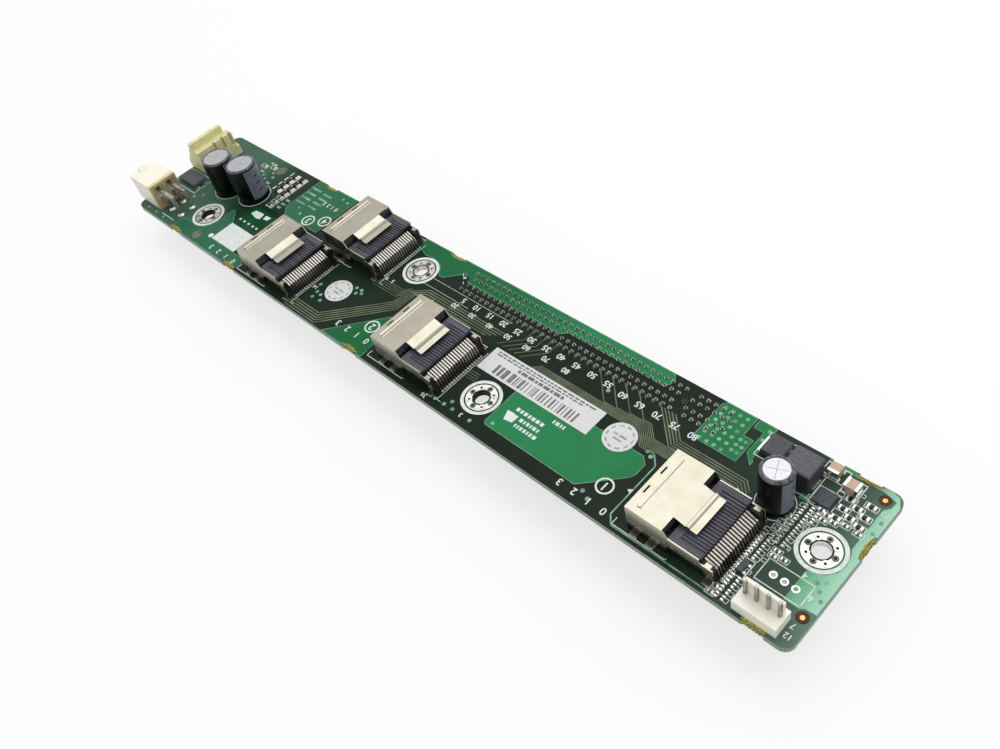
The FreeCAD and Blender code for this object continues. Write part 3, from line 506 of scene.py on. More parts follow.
bm = bmesh.new()
ports = []
for name in PORTS:
    low, high = extent(name + "_cage")
    ports.append((low.x, (low.y + high.y) / 2))
for x, y in ports:
    # Line behind the contact tails, and brackets along the cage
    tails = x + 23.2
    flank = y - 10.3
    front = x - 3.2
    trace(bm, [(tails, y + 8.6), (tails, y - 9.6), (x + 24.6, y - 9.6)], 0.14, INK)
    trace(bm, [(x + 10.8, y - 9.9), (x + 10.8, flank), (front, flank), (front, y - 8.4)], BROAD_LINE, INK)
    trace(bm, [(x + 11.0, y + 10.1), (x + 18.6, y + 10.1)], BROAD_LINE, INK)
for x, y in ports[:2]:
    # Pin-one triangle
    patch(bm, [(x - 6.0, y - 1.6), (x - 4.8, y - 0.9), (x - 4.8, y - 2.3)], TOP, INK)
# Lines at the slot's first contact numbers, a cut corner at its end, and a line beside the power header
trace(bm, [(-126.4, 9.6), (-95.0, 9.6)], 0.1, INK)
trace(bm, [(-126.4, 6.8), (-108.8, 6.8)], 0.1, INK)
trace(bm, [(-119.6, 15.6), (-116.6, 12.6)], BROAD_LINE, INK)
trace(bm, [(-226.0, -19.7), (-219.0, -19.7)], 0.24, INK)
put("print_outlines", bm, ink)

# Solid white square, soft-edged blots and rows of short dashes
bm = bmesh.new()
patch(bm, [(-199.6, -9.2), (-187.6, -9.2), (-187.6, -17.3), (-199.6, -17.3)], TOP, INK)
patch(bm, [(-197.6, -1.2), (-193.6, -0.9), (-193.0, -3.2), (-194.6, -3.6), (-198.0, -3.0)], TOP, INK)
patch(bm, [(-192.4, -1.0), (-189.8, -0.8), (-190.2, -2.3), (-192.0, -2.6)], TOP, INK)
patch(bm, [(-76.2, -11.6), (-74.6, -11.4), (-72.6, -11.6), (-72.8, -13.8), (-75.2, -14.2)], TOP, INK)
for x in (-198.8, -196.6, -194.3, -192.0, -190.0):
    bar(bm, x - 0.45, -6.6, x + 0.45, -6.6, 0.7, TOP, INK)
pick = random.Random(5)
for start, end, y in ((-74.6, -66.6, -10.0), (-71.8, -65.8, -12.0), (-71.8, -65.8, -13.9),
                      (-65.0, -61.4, -7.7)):
    x = start
    while x < end:
        wide = pick.choice((0.45, 0.7, 0.95))
        bar(bm, x, y, x + wide, y, 1.0, TOP, INK)
        x += wide + 0.4
disc(bm, -200.8, -16.8, TOP + 0.015, 0.9, 0.9, 0.03, 20)
put("print_solid_marks", bm, ink)


def numeral(bm, text, x, y, tall):
    # Plain figures, read from the back edge of the card
    face = bpy.data.curves.new("numeral", "FONT")
    face.body = text
    face.size = tall * 1.38 * MM
    face.align_x = "CENTER"
    face.align_y = "CENTER"
    face.extrude = 0.012 * MM
    face.offset = 0.02 * tall * MM
    holder = bpy.data.objects.new("numeral", face)
    bpy.context.scene.collection.objects.link(holder)
    bpy.context.view_layer.update()
    mesh = bpy.data.meshes.new_from_object(holder.evaluated_get(bpy.context.evaluated_depsgraph_get()))
    mesh.transform(Matrix.Translation(Vector((x, y, TOP + 0.018)) * MM) @ Matrix.Rotation(math.pi, 4, "Z"))
    bm.from_mesh(mesh)
    bpy.data.objects.remove(holder)
    bpy.data.curves.remove(face)
    bpy.data.meshes.remove(mesh)


bm = bmesh.new()
for text, x, y in (("1", -43.9, -14.2), ("2", -126.1, -12.8), ("3", -178.3, 5.2), ("4", -173.2, 7.7)):
    # Port numbers in circles
    ring(bm, x, y, 1.75, 2.2, TOP, INK)
    numeral(bm, text, x, y, 2.3)
for i in range(4):
    # Lane numbers beside each port
    for x, pitch, y, tall in ((-52.6, 4.2, -19.3, 1.9), (-135.4, 4.0, -17.2, 1.9), (-196.0, 4.0, -19.8, 1.8),
                              (-180.0, 1.9, 13.3, 1.5)):
        numeral(bm, str(3 - i), x + pitch * i, y, tall)
for i in range(16):
    # Contact numbers: every fifth along the slot, every tenth in a second row
    numeral(bm, str(5 * i + 5), -111.8 + 5.0 * i, 8.3 if i < 11 else 7.7, 1.75)
    if 1 < i < 9:
        numeral(bm, str(10 * i), -125.8 + 6.6 * i, 5.6, 1.6)
for text, x, y in (("12", 5.0, -19.2), ("7", 4.6, -16.9), ("2", -21.0, 1.6), ("14", -152.4, -12.0),
                   ("5", -134.6, 2.2), ("9", -136.9, 2.2), ("1", -119.2, 3.1), ("36", -96.8, -20.6),
                   ("3", -84.6, -19.4), ("4", 0.6, -6.6), ("6", 4.0, -10.2)):
    # Pin numbers
    numeral(bm, text, x, y, 1.3)
put("print_numerals", bm, ink)

# Fiducials
# Bare copper dots for the placement machine's camera, each in a round window of bare brown laminate.
# Two more windows at the left end have no dot, and the mask runs over them.

# Bare laminate seen through the window: dark reddish brown, satin, with 0.5 mm specks.
window = mottled("bare_brown_laminate", {"IOR": 1.5, "Roughness": 0.5, "Specular IOR Level": 0.3}, size=0.5,
                 stops=[(0.3, "#2e1503"), (0.7, "#5a2c08")])
# Bare copper with a gold flash: warm and shiny, uneven every 0.3 mm.
copper = mottled("flashed_copper", {"Metallic": 1.0}, size=0.3,
                 stops=[(0.3, "#e0964c"), (0.7, "#ffcf8c")], sheen=(0.3, 0.5))
bm = bmesh.new()
dots = bmesh.new()
covered = bmesh.new()
for x, y in ((3.6, 17.2), (5.0, -14.4)):
    disc(bm, x, y, TOP + 0.01, 1.35, 1.35, 0.02, 32)
    disc(dots, x, y, TOP + 0.03, 0.55, 0.5, 0.04, 24)
for x, y, radius in ((-205.5, -19.2, 1.7), (-206.8, 16.0, 1.9)):
    disc(covered, x, y, TOP + 0.01, radius, radius, 0.02, 32)
put("fiducial_windows", bm, window)
put("covered_windows", covered, track)
put("fiducial_dots", dots, copper)

# Edge-card slot
# A black moulded housing on the far side of the board, with sprung gold blades down both sides of its cavity.
# Their tails come through the board and are wave-soldered in four staggered rows on this face.
BLADE = [(1.38, -1.5), (1.38, -5.6), (0.62, -8.3), (0.95, -9.3)]  # from the slot's middle, and height
BLADE_WIDTH = 0.44
PEGS = (-1.85, 71.75)  # from the first contact
LONG_BANK = 71  # contacts, 1 mm apart
SHORT_BANK = 11
KEY = 2  # contacts left out at the key
INNER_ROW = 1.3  # rows of tails, from the slot's middle
OUTER_ROW = 3.3

# Moulded glass-filled thermoplastic: nearly black, satin, with a 0.5 mm moulded grain.
moulding = mottled("black_moulded_thermoplastic", {"IOR": 1.5, "Specular IOR Level": 0.35}, size=0.5,
                   detail=4.0, stops=[(0.3, "#121216"), (0.75, "#222228")], sheen=(0.36, 0.55),
                   relief=(0.15, 0.03))
# Gold-flashed phosphor bronze: warm yellow metal, faintly uneven every 0.4 mm.
gold = mottled("gold_flashed_bronze", {"Metallic": 1.0}, size=0.4,
               stops=[(0.0, "#c89a3c"), (1.0, "#f0cf7c")], sheen=(0.22, 0.4))
# Clipped tail ends: dull dark metal, stained with flux.
fluxed = mottled("flux_stained_tail", {"Metallic": 1.0, "Roughness": 0.5}, size=0.7, detail=3.0,
                 stops=[(0.35, "#59625a"), (0.7, "#a3aca0")])
dress(moulding, "slot_housing")
dress(fluxed, "slot_tails")

slot_low, slot_high = extent("slot_housing")
slot_y = (slot_low.y + slot_high.y) / 2
first_x = slot_low.x + 3.0
contacts = [first_x + i for i in range(LONG_BANK)]
contacts += [first_x + LONG_BANK + KEY + i for i in range(SHORT_BANK)]
bm = bmesh.new()
for x in contacts:
    for side in (-1, 1):
        spine = [bm.verts.new(Vector((x - BLADE_WIDTH / 2, slot_y + side * y, z)) * MM) for y, z in BLADE]
        loop = [bm.edges.new(pair) for pair in zip(spine, spine[1:])]
        wide = bmesh.ops.extrude_edge_only(bm, edges=loop)
        bmesh.ops.translate(bm, verts=verts_of(wide["geom"]), vec=Vector((BLADE_WIDTH * MM, 0, 0)))
bmesh.ops.solidify(bm, geom=bm.faces[:], thickness=0.12 * MM)
blades = put("slot_blades", bm, gold)
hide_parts("slot_contacts")

bm = bmesh.new()
collars = bmesh.new()
for x in contacts:
    offset = OUTER_ROW if round(x - first_x) % 2 == 0 else INNER_ROW
    for side in (-1, 1):
        y = slot_y + side * offset
        ring(bm, x, y, 0.32, 0.51, TOP, TOP + 0.14, 12)
        ring(collars, x, y, 0.2, 0.34, TOP, TOP + 0.05, 10)
put("slot_tail_solder", bm, waved)
put("slot_tail_wells", collars, fluxed)

# Peg ends: the slot's two moulded locating pegs, just proud of their holes, one with a staple
bm = bmesh.new()
for x in PEGS:
    disc(bm, first_x + x, slot_y, TOP + 0.17, 1.15, 0.85, 0.35, 28)
put("slot_peg_ends", bm, moulding)
bm = bmesh.new()
ring(bm, first_x + PEGS[0], slot_y, 0.12, 0.42, TOP + 0.3, TOP + 0.42, 16)
put("slot_peg_staple", bm, tin)

# Multilane ports
# Each port is a folded nickel-plated sheet cage with a stepped latch tongue, round a black moulded insert.
# Eighteen tinned contacts run down the insert's rear slope and are reflow-soldered in a row behind it.
CONTACTS = 18
PITCH = 0.8
TAIL = (21.6, 22.8)  # ends of a contact's pad, from the cage's mouth

# Nickel-plated steel sheet: warm pale grey and satin, with faint 0.35 mm rolling streaks along its width
# and 4 mm smudges, darkened near the board as painted shade.
nickel, tree, shader = finish("nickel_plated_sheet", {"Metallic": 1.0})
place = add(tree, "ShaderNodeTexCoord")
rolled = add(tree, "ShaderNodeMapping", {"Scale": (1.0, 0.08, 1.0)}, {"Vector": place.outputs["Object"]})
streak = add(tree, "ShaderNodeTexNoise", {"Scale": 1 / (0.35 * MM), "Detail": 3.0},
             {"Vector": rolled.outputs["Vector"]})
smudge = add(tree, "ShaderNodeTexNoise", {"Scale": 1 / (4 * MM), "Detail": 3.0},
             {"Vector": place.outputs["Object"]})
tone = add(tree, "ShaderNodeValToRGB", links={"Fac": smudge.outputs["Fac"]})
shades(tone, [(0.3, "#b1ac9b"), (0.7, "#bbb7a8")])
spot = add(tree, "ShaderNodeSeparateXYZ", links={"Vector": place.outputs["Object"]})
# Darker towards the board: painted shade
shade_by_height = add(tree, "ShaderNodeMapRange",
           {"From Min": (TOP + 0.2) * MM, "From Max": (TOP + 2.4) * MM, "To Min": 0.22},
           {"Value": spot.outputs["Z"]})
colour = add(tree, "ShaderNodeVectorMath", {}, {0: tone.outputs["Color"], "Scale": shade_by_height.outputs["Result"]},
             operation="SCALE")
tree.links.new(colour.outputs["Vector"], shader.inputs["Base Color"])
sheen = add(tree, "ShaderNodeMapRange", {"To Min": 0.2, "To Max": 0.3}, {"Value": streak.outputs["Fac"]})
tree.links.new(sheen.outputs["Result"], shader.inputs["Roughness"])
bump = add(tree, "ShaderNodeBump", {"Strength": 0.02, "Distance": 0.02 * MM},
           {"Height": streak.outputs["Fac"]})
tree.links.new(bump.outputs["Normal"], shader.inputs["Normal"])

# Tinned contact: pale tin higher up, going dull bronze towards its soldered foot as painted shade,
# and painted near black on the sides of each contact as shade in the gaps between contacts.
tinned, tree, shader = finish("tinned_phosphor_bronze", {"Metallic": 1.0})
place = add(tree, "ShaderNodeTexCoord")
streak = add(tree, "ShaderNodeTexNoise", {"Scale": 1 / (0.5 * MM), "Detail": 2.0},
             {"Vector": place.outputs["Object"]})
spot = add(tree, "ShaderNodeSeparateXYZ", links={"Vector": place.outputs["Object"]})
# Darker towards the board: painted shade
shade_by_height = add(tree, "ShaderNodeMapRange", {"From Min": (TOP + 0.6) * MM, "From Max": (TOP + 3.4) * MM},
           {"Value": spot.outputs["Z"]})
worn = add(tree, "ShaderNodeMapRange", {"To Min": -0.12, "To Max": 0.12}, {"Value": streak.outputs["Fac"]})
mixed = add(tree, "ShaderNodeMath", {}, {0: shade_by_height.outputs["Result"], 1: worn.outputs["Result"]},
            use_clamp=True)
tone = add(tree, "ShaderNodeValToRGB", links={"Fac": mixed.outputs[0]})
shades(tone, [(0.05, "#625e56"), (0.9, "#b0aca3")])
face = add(tree, "ShaderNodeNewGeometry")
parts = add(tree, "ShaderNodeSeparateXYZ", links={"Vector": face.outputs["True Normal"]})
across = add(tree, "ShaderNodeMath", {}, {0: parts.outputs["Y"]}, operation="ABSOLUTE")
# Sides facing the next contact darkened: painted shade in the gaps
gap_shade = add(tree, "ShaderNodeMapRange", {"From Min": 0.3, "From Max": 0.8, "To Min": 1.0, "To Max": 0.12},
              {"Value": across.outputs[0]})
colour = add(tree, "ShaderNodeVectorMath", {}, {0: tone.outputs["Color"], "Scale": gap_shade.outputs["Result"]},
             operation="SCALE")
tree.links.new(colour.outputs["Vector"], shader.inputs["Base Color"])
sheen = add(tree, "ShaderNodeMapRange", {"To Min": 0.2, "To Max": 0.36}, {"Value": streak.outputs["Fac"]})
tree.links.new(sheen.outputs["Result"], shader.inputs["Roughness"])

# Liquid-crystal polymer of the inserts: blue-grey with 0.9 mm flow lines on the top face, and darkened to
# near black below it as painted shade.
insert, tree, shader = finish("blue_black_moulded_polymer", {"IOR": 1.6, "Specular IOR Level": 0.3})
place = add(tree, "ShaderNodeTexCoord")
drawn = add(tree, "ShaderNodeMapping", {"Scale": (0.15, 1.0, 1.0)}, {"Vector": place.outputs["Object"]})
flow = add(tree, "ShaderNodeTexNoise", {"Scale": 1 / (0.9 * MM), "Detail": 3.0},
           {"Vector": drawn.outputs["Vector"]})
tone = add(tree, "ShaderNodeValToRGB", links={"Fac": flow.outputs["Fac"]})
shades(tone, [(0.3, "#38383f"), (0.7, "#5b5b66")])
spot = add(tree, "ShaderNodeSeparateXYZ", links={"Vector": place.outputs["Object"]})
# Near black below the top face: painted shade
shade_by_height = add(tree, "ShaderNodeMapRange",
           {"From Min": (TOP + 5.0) * MM, "From Max": (TOP + 5.6) * MM, "To Min": 0.1},
           {"Value": spot.outputs["Z"]})
colour = add(tree, "ShaderNodeVectorMath", {}, {0: tone.outputs["Color"], "Scale": shade_by_height.outputs["Result"]},
             operation="SCALE")
tree.links.new(colour.outputs["Vector"], shader.inputs["Base Color"])
sheen = add(tree, "ShaderNodeMapRange", {"To Min": 0.32, "To Max": 0.5}, {"Value": flow.outputs["Fac"]})
tree.links.new(sheen.outputs["Result"], shader.inputs["Roughness"])

for name in PORTS:
    dress(nickel, name + "_cage")
    dress(insert, name + "_insert")
    dress(tinned, name + "_contacts")

bm = bmesh.new()
for x, y in ports:
    for i in range(CONTACTS):
        v = y + PITCH * (i - 8.5)
        bar(bm, x + TAIL[0], v, x + TAIL[1], v, 0.5, TOP, TOP + 0.02)
        disc(bm, x + 22.35, v, TOP + 0.13, 0.34, 0.14, 0.26, 8)
    for along in (2.2, 6.4, 20.55):
        # Pads of the cage's feet
        for side in (-1, 1):
            bar(bm, x + along - 1.0, y + side * 9.45, x + along + 1.0, y + side * 9.45, 1.2, TOP, TOP + 0.02)
put("port_solder", bm, tin)

# The rolled crest of each cage's stiffening rib, sloped to the rear
bm = bmesh.new()
for name in PORTS:
    low, high = extent(name + "_cage")
    y = (low.y + high.y) / 2
    section = [(2.0, high.z + 0.08), (3.2, high.z - 0.24), (3.2, high.z - 0.28), (2.0, high.z - 0.28)]
    base = bm.faces.new([bm.verts.new(Vector((low.x + u, y - 7.25, z)) * MM) for u, z in section])
    run = bmesh.ops.extrude_face_region(bm, geom=[base])
    bmesh.ops.translate(bm, verts=verts_of(run["geom"]), vec=Vector((0, 14.5, 0)) * MM)
put("cage_rib_crests", bm, nickel)

# Can capacitors
# Drawn aluminium cans in a black shrink sleeve that rolls over the rim. A grey stripe of printed dashes marks
# the negative lead, and the silver top is scored so that it can vent.

# Drawn aluminium, lightly etched: silver grey with a matt tooth, drawn 0.3 mm coarse so that it shows.
aluminium = mottled("etched_drawn_aluminium", {"Metallic": 1.0}, size=0.3, detail=3.0,
                    stops=[(0.3, "#b2b2b5"), (0.7, "#cbcbce")], sheen=(0.28, 0.38), relief=(0.12, 0.02))
# Scored line: the same metal, matt, and a little darker as painted shade in its groove.
scored = mottled("scored_aluminium", {"Metallic": 1.0, "Roughness": 0.6}, size=0.3,
                 stops=[(0.3, "#8f8f92"), (0.7, "#b0b0b2")])
# Shrink film: black polyester pulled tight, glossy, with shallow 1.2 mm ripples.
film = mottled("black_shrink_film", {"IOR": 1.55, "Specular IOR Level": 0.14}, size=1.2,
               stops=[(0.0, "#020203"), (1.0, "#08090b")], sheen=(0.25, 0.38), relief=(0.1, 0.05))
# Film over the rim: greyed in 0.8 mm patches as a painted highlight on the can's shoulder.
rim_film_highlight = mottled("film_over_rim_painted_highlight", {"IOR": 1.55, "Specular IOR Level": 0.5, "Roughness": 0.28},
                     size=0.8, stops=[(0.3, "#1b1d21"), (0.7, "#6c7077")])
# Printed stripe: blue-grey ink on the film, with the film's gloss and ripples.
stripe = mottled("grey_stripe_print", {"IOR": 1.5, "Roughness": 0.34, "Specular IOR Level": 0.4}, size=1.2,
                 stops=[(0.0, "#545c68"), (1.0, "#757d8a")])

# Each can's stripe starts and sweeps so many degrees, and its bare top is a share of its radius
for name, start, sweep, flat in (("right_can", -40, 85, 0.74), ("left_can_1", -27, 82, 0.83),
                                 ("left_can_2", -11, 81, 0.83)):
    dress(aluminium, name + "_shell")
    low, high = extent(name + "_sleeve")
    x = (low.x + high.x) / 2
    y = (low.y + high.y) / 2
    radius = (high.x - low.x) / 2
    lip = radius * flat
    # The sleeve: crimped in near its foot, rolled over the rim of the can
    profile = [(radius - 0.35, low.z), (radius - 0.08, low.z), (radius, low.z + 0.3), (radius, low.z + 0.7),
               (radius - 0.12, low.z + 0.95), (radius - 0.12, low.z + 1.15), (radius, low.z + 1.4),
               (radius, high.z - 0.9), (radius - 0.08, high.z - 0.5), (radius - 0.26, high.z - 0.2),
               (radius - 0.55, high.z - 0.03), (lip + 0.12, high.z), (lip, high.z - 0.06),
               (lip, high.z - 0.15), (radius - 0.35, high.z - 0.15)]
    bm = bmesh.new()
    corners = [bm.verts.new(Vector((x + r, y, z)) * MM) for r, z in profile]
    loop = [bm.edges.new((corners[i], corners[(i + 1) % len(corners)])) for i in range(len(corners))]
    bmesh.ops.spin(bm, geom=corners + loop, cent=Vector((x, y, 0)) * MM, axis=(0, 0, 1), angle=math.tau,
                   steps=80, use_merge=True)
    for item in bm.faces:
        item.smooth = True
        # Faces near the top take the greyed rim film: a painted highlight
        if item.calc_center_median().z > (high.z - 0.45) * MM:
            item.material_index = 1
    sleeve = put(name + "_film", bm, film)
    sleeve.data.materials.append(rim_film_highlight)
    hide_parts(name + "_sleeve")
    # Its stripe
    bm = bmesh.new()
    ring(bm, x, y, radius - 0.05, radius + 0.02, low.z + 1.45, high.z - 0.9, 18, math.radians(start),
         math.radians(sweep))
    put(name + "_stripe", bm, stripe)
    # Dashes on the stripe
    bm = bmesh.new()
    for i in range(3):
        middle = low.z + 3.9 + 2.6 * i
        ring(bm, x, y, radius, radius + 0.03, middle - 0.2, middle + 0.2, 4,
             math.radians(start + sweep / 2 - 9), math.radians(18))
    put(name + "_dashes", bm, film)
    # Scored vent lines on the top
    bm = bmesh.new()
    reach = lip - 0.35
    for angle in (0.4, 0.4 + math.pi / 2):
        dx = reach * math.cos(angle)
        dy = reach * math.sin(angle)
        bar(bm, x - dx, y - dy, x + dx, y + dy, 0.12, high.z - 0.16, high.z - 0.145)
    put(name + "_vent_score", bm, scored)
    # White printed circle on the board
    bm = bmesh.new()
    ring(bm, x, y, radius + 0.45, radius + 0.65, TOP, INK, 64)
    put(name + "_print_circle", bm, ink)

# Lead joints on the far side
# Soldered ends of the capacitors' leads and the headers' pins, in the same levelled tin as the pads.
# Each is a small cone of solder that has climbed a clipped lead.
FAN_PINS = [(-5.26 + 2.54 * i, -18.05) for i in range(4)]
LOCK_PINS = [(-235.5, 2.84 + 3.96 * i) for i in range(3)]
POWER_PINS = [(x, y) for x in (-224.7, -219.2) for y in (-16.4, -12.2)]
joints = []
for name, half in (("right_can", 1.75), ("left_can_1", 2.5), ("left_can_2", 2.5)):
    low, high = extent(name + "_shell")
    for side in (-1, 1):
        joints.append(((low.x + high.x) / 2, (low.y + high.y) / 2 + side * half, 0.9))
for pins, size in ((FAN_PINS, 0.8), (LOCK_PINS, 1.15), (POWER_PINS, 1.2)):
    joints += [(x, y, size) for x, y in pins]
bm = bmesh.new()
for x, y, size in joints:
    disc(bm, x, y, -0.35, 0.35 * size, size, 0.7, 20)
    disc(bm, x, y, -0.6, 0.26, 0.3, 1.2, 16)
put("far_side_joints", bm, tin)

# Headers
# Two natural white nylon housings and one cream one, injection moulded round square tinned pins.
# The right-angle one at the left end takes a latching power plug, the others push-on plugs.
RECESS_SHADE_FROM = -230.5  # painted amber shade on the power header from here to its pins
RECESS_SHADE_TO = -227.6

# Natural nylon: milky white, lit a little from within, satin, with faint 2 mm flow marks.
nylon = mottled("natural_white_nylon",
                {"IOR": 1.53, "Roughness": 0.42, "Specular IOR Level": 0.4, "Subsurface Weight": 0.08,
                 "Subsurface Scale": 0.6 * MM, "Subsurface Radius": (1.0, 0.8, 0.5)},
                size=2, detail=3.0, stops=[(0.3, "#f8f5e4"), (0.7, "#fefcf2")], relief=(0.05, 0.05))
# Aged nylon: the same moulding gone cream.
cream = mottled("aged_cream_nylon",
                {"IOR": 1.53, "Roughness": 0.45, "Specular IOR Level": 0.4, "Subsurface Weight": 0.08,
                 "Subsurface Scale": 0.6 * MM, "Subsurface Radius": (1.0, 0.8, 0.4)},
                size=2, detail=3.0, stops=[(0.3, "#d8d49a"), (0.7, "#e8e4b2")], relief=(0.05, 0.05))
# Nylon of the power header: the same white, with painted amber shade in the recess on the side of its pins.
recess_shaded_nylon, tree, shader = finish("nylon_with_painted_recess_shade",
                              {"IOR": 1.53, "Roughness": 0.42, "Specular IOR Level": 0.4})
place = add(tree, "ShaderNodeTexCoord")
flow = add(tree, "ShaderNodeTexNoise", {"Scale": 1 / (2 * MM), "Detail": 3.0},
           {"Vector": place.outputs["Object"]})
spot = add(tree, "ShaderNodeSeparateXYZ", links={"Vector": place.outputs["Object"]})
# Amber towards the pins: painted shade in the recess
toward_recess = add(tree, "ShaderNodeMapRange", {"From Min": RECESS_SHADE_FROM * MM, "From Max": RECESS_SHADE_TO * MM},
           {"Value": spot.outputs["X"]})
uneven = add(tree, "ShaderNodeMapRange", {"To Min": -0.25, "To Max": 0.25}, {"Value": flow.outputs["Fac"]})
mixed = add(tree, "ShaderNodeMath", {}, {0: toward_recess.outputs["Result"], 1: uneven.outputs["Result"]},
            use_clamp=True)
tone = add(tree, "ShaderNodeValToRGB", links={"Fac": mixed.outputs[0]})
shades(tone, [(0.0, "#fbf8ea"), (0.45, "#f0e7c8"), (1.0, "#c0a878")])
tree.links.new(tone.outputs["Color"], shader.inputs["Base Color"])
dress(recess_shaded_nylon, "power_header_housing")
dress(nylon, "fan_header_housing")
dress(cream, "lock_header_housing")
dress(waved, "power_header_pins", "fan_header_pins", "lock_header_pins")

bm = bmesh.new()
for x, y in POWER_PINS:
    disc(bm, x, y, TOP + 0.25, 1.25, 0.7, 0.5, 20)
put("power_pin_solder", bm, tin)

# Choke, chips and chip parts
# A pressed-powder choke, moulded chips and rows of tiny ceramic capacitors and resistors.
# Each sits on tinned pads with a sloping fillet of solder at its ends, most with a printed outline round it.
FINE_LINE = 0.13

# Pressed iron powder under lacquer: mid grey, 0.5 mm granular, and darker round the sides as painted shade.
powder, tree, shader = finish("pressed_iron_powder",
                              {"IOR": 1.5, "Roughness": 0.6, "Specular IOR Level": 0.3})
place = add(tree, "ShaderNodeTexCoord")
grit = add(tree, "ShaderNodeTexNoise", {"Scale": 1 / (0.5 * MM), "Detail": 4.0},
           {"Vector": place.outputs["Object"]})
tone = add(tree, "ShaderNodeValToRGB", links={"Fac": grit.outputs["Fac"]})
shades(tone, [(0.3, "#4c4c50"), (0.7, "#707074")])
face = add(tree, "ShaderNodeNewGeometry")
parts = add(tree, "ShaderNodeSeparateXYZ", links={"Vector": face.outputs["True Normal"]})
# Sides darker than the top: painted shade
pressed = add(tree, "ShaderNodeMapRange", {"From Min": 0.2, "From Max": 0.9, "To Min": 0.3},
              {"Value": parts.outputs["Z"]})
colour = add(tree, "ShaderNodeVectorMath", {}, {0: tone.outputs["Color"], "Scale": pressed.outputs["Result"]},
             operation="SCALE")
tree.links.new(colour.outputs["Vector"], shader.inputs["Base Color"])
bump = add(tree, "ShaderNodeBump", {"Strength": 0.3, "Distance": 0.05 * MM}, {"Height": grit.outputs["Fac"]})
tree.links.new(bump.outputs["Normal"], shader.inputs["Normal"])
# Moulded epoxy of the chips: charcoal, matt, a spark-eroded texture drawn 0.4 mm coarse so that it shows.
epoxy = mottled("moulded_chip_epoxy", {"IOR": 1.5, "Roughness": 0.5, "Specular IOR Level": 0.35}, size=0.4,
                detail=4.0, stops=[(0.3, "#3d3e43"), (0.7, "#575960")], relief=(0.2, 0.03))
# Black resistor glaze: shiny glass over a printed film.
glaze = mottled("black_resistor_glaze", {"IOR": 1.52, "Roughness": 0.25, "Specular IOR Level": 0.3}, size=0.6,
                stops=[(0.0, "#0a0a0b"), (1.0, "#19191b")])
# Fired ceramic: tan or brown, fine grained, satin.
tan = mottled("fired_tan_ceramic", {"IOR": 1.6, "Roughness": 0.45}, size=0.5, detail=3.0,
              stops=[(0.0, "#b08f70"), (1.0, "#d6bda4")])
brown = mottled("fired_brown_ceramic", {"IOR": 1.6, "Roughness": 0.45}, size=1.5, detail=3.0,
                stops=[(0.35, "#2a2420"), (0.65, "#7d6b58")])
# Reflowed tin on the chip ends: the brightest metal on the card, smooth and freshly wetted.
reflowed = mottled("reflowed_tin", {"Metallic": 1.0}, size=0.6,
                   stops=[(0.3, "#d6d6d0"), (0.7, "#fafaf6")], sheen=(0.18, 0.4), relief=(0.4, 0.08))

dress(powder, "choke_core")
dress(epoxy, "power_switch_body", "control_chip_body", "regulator_body", "transistor_body")
dress(glaze, "sense_resistor_bodies", "chip_resistor_bodies")
dress(tan, "ceramic_capacitor_bodies")
dress(brown, "chip_capacitor_bodies")
dress(reflowed, "choke_terminals", "power_switch_leads", "regulator_leads", "transistor_leads",
      "ceramic_capacitor_ends", "sense_resistor_ends", "chip_resistor_ends", "chip_capacitor_ends")


def islands(node):
    # Boxes of a node's separate pieces, in millimetres
    bm = bmesh.new()
    bm.from_mesh(nodes[node].data)
    bmesh.ops.remove_doubles(bm, verts=bm.verts, dist=1e-7)
    left = set(bm.verts)
    found = []
    while left:
        group = [left.pop()]
        for vert in group:
            for edge in vert.link_edges:
                other = edge.other_vert(vert)
                if other in left:
                    left.discard(other)
                    group.append(other)
        xs = [vert.co.x / MM for vert in group]
        ys = [vert.co.y / MM for vert in group]
        found.append((min(xs), min(ys), max(xs), max(ys)))
    bm.free()
    return sorted(found)


def fillet(bm, x0, y0, x1, y1, grow, tall):
    # Solder that slopes up from the pad to the metal end
    middle = Matrix.Translation(Vector(((x0 + x1) / 2, (y0 + y1) / 2, TOP + tall / 2)) * MM)
    size = Matrix.Diagonal(((x1 - x0 + 2 * grow) * MM, (y1 - y0 + 2 * grow) * MM, tall * MM, 1.0))
    corner = math.sqrt(0.5)
    bmesh.ops.create_cone(bm, cap_ends=True, segments=4, radius1=corner, radius2=corner * 0.68, depth=1.0,
                          matrix=middle @ size @ Matrix.Rotation(math.pi / 4, 4, "Z"))


bm = bmesh.new()
for node, grow, tall in (("ceramic_capacitor_ends", 0.3, 0.5), ("sense_resistor_ends", 0.4, 0.42),
                         ("chip_resistor_ends", 0.3, 0.35), ("chip_capacitor_ends", 0.17, 0.25),
                         ("regulator_leads", 0.3, 0.5), ("transistor_leads", 0.2, 0.3),
                         ("power_switch_leads", 0.1, 0.2)):
    for sides in islands(node):
        fillet(bm, *sides, grow, tall)
put("chip_fillets", bm, reflowed)

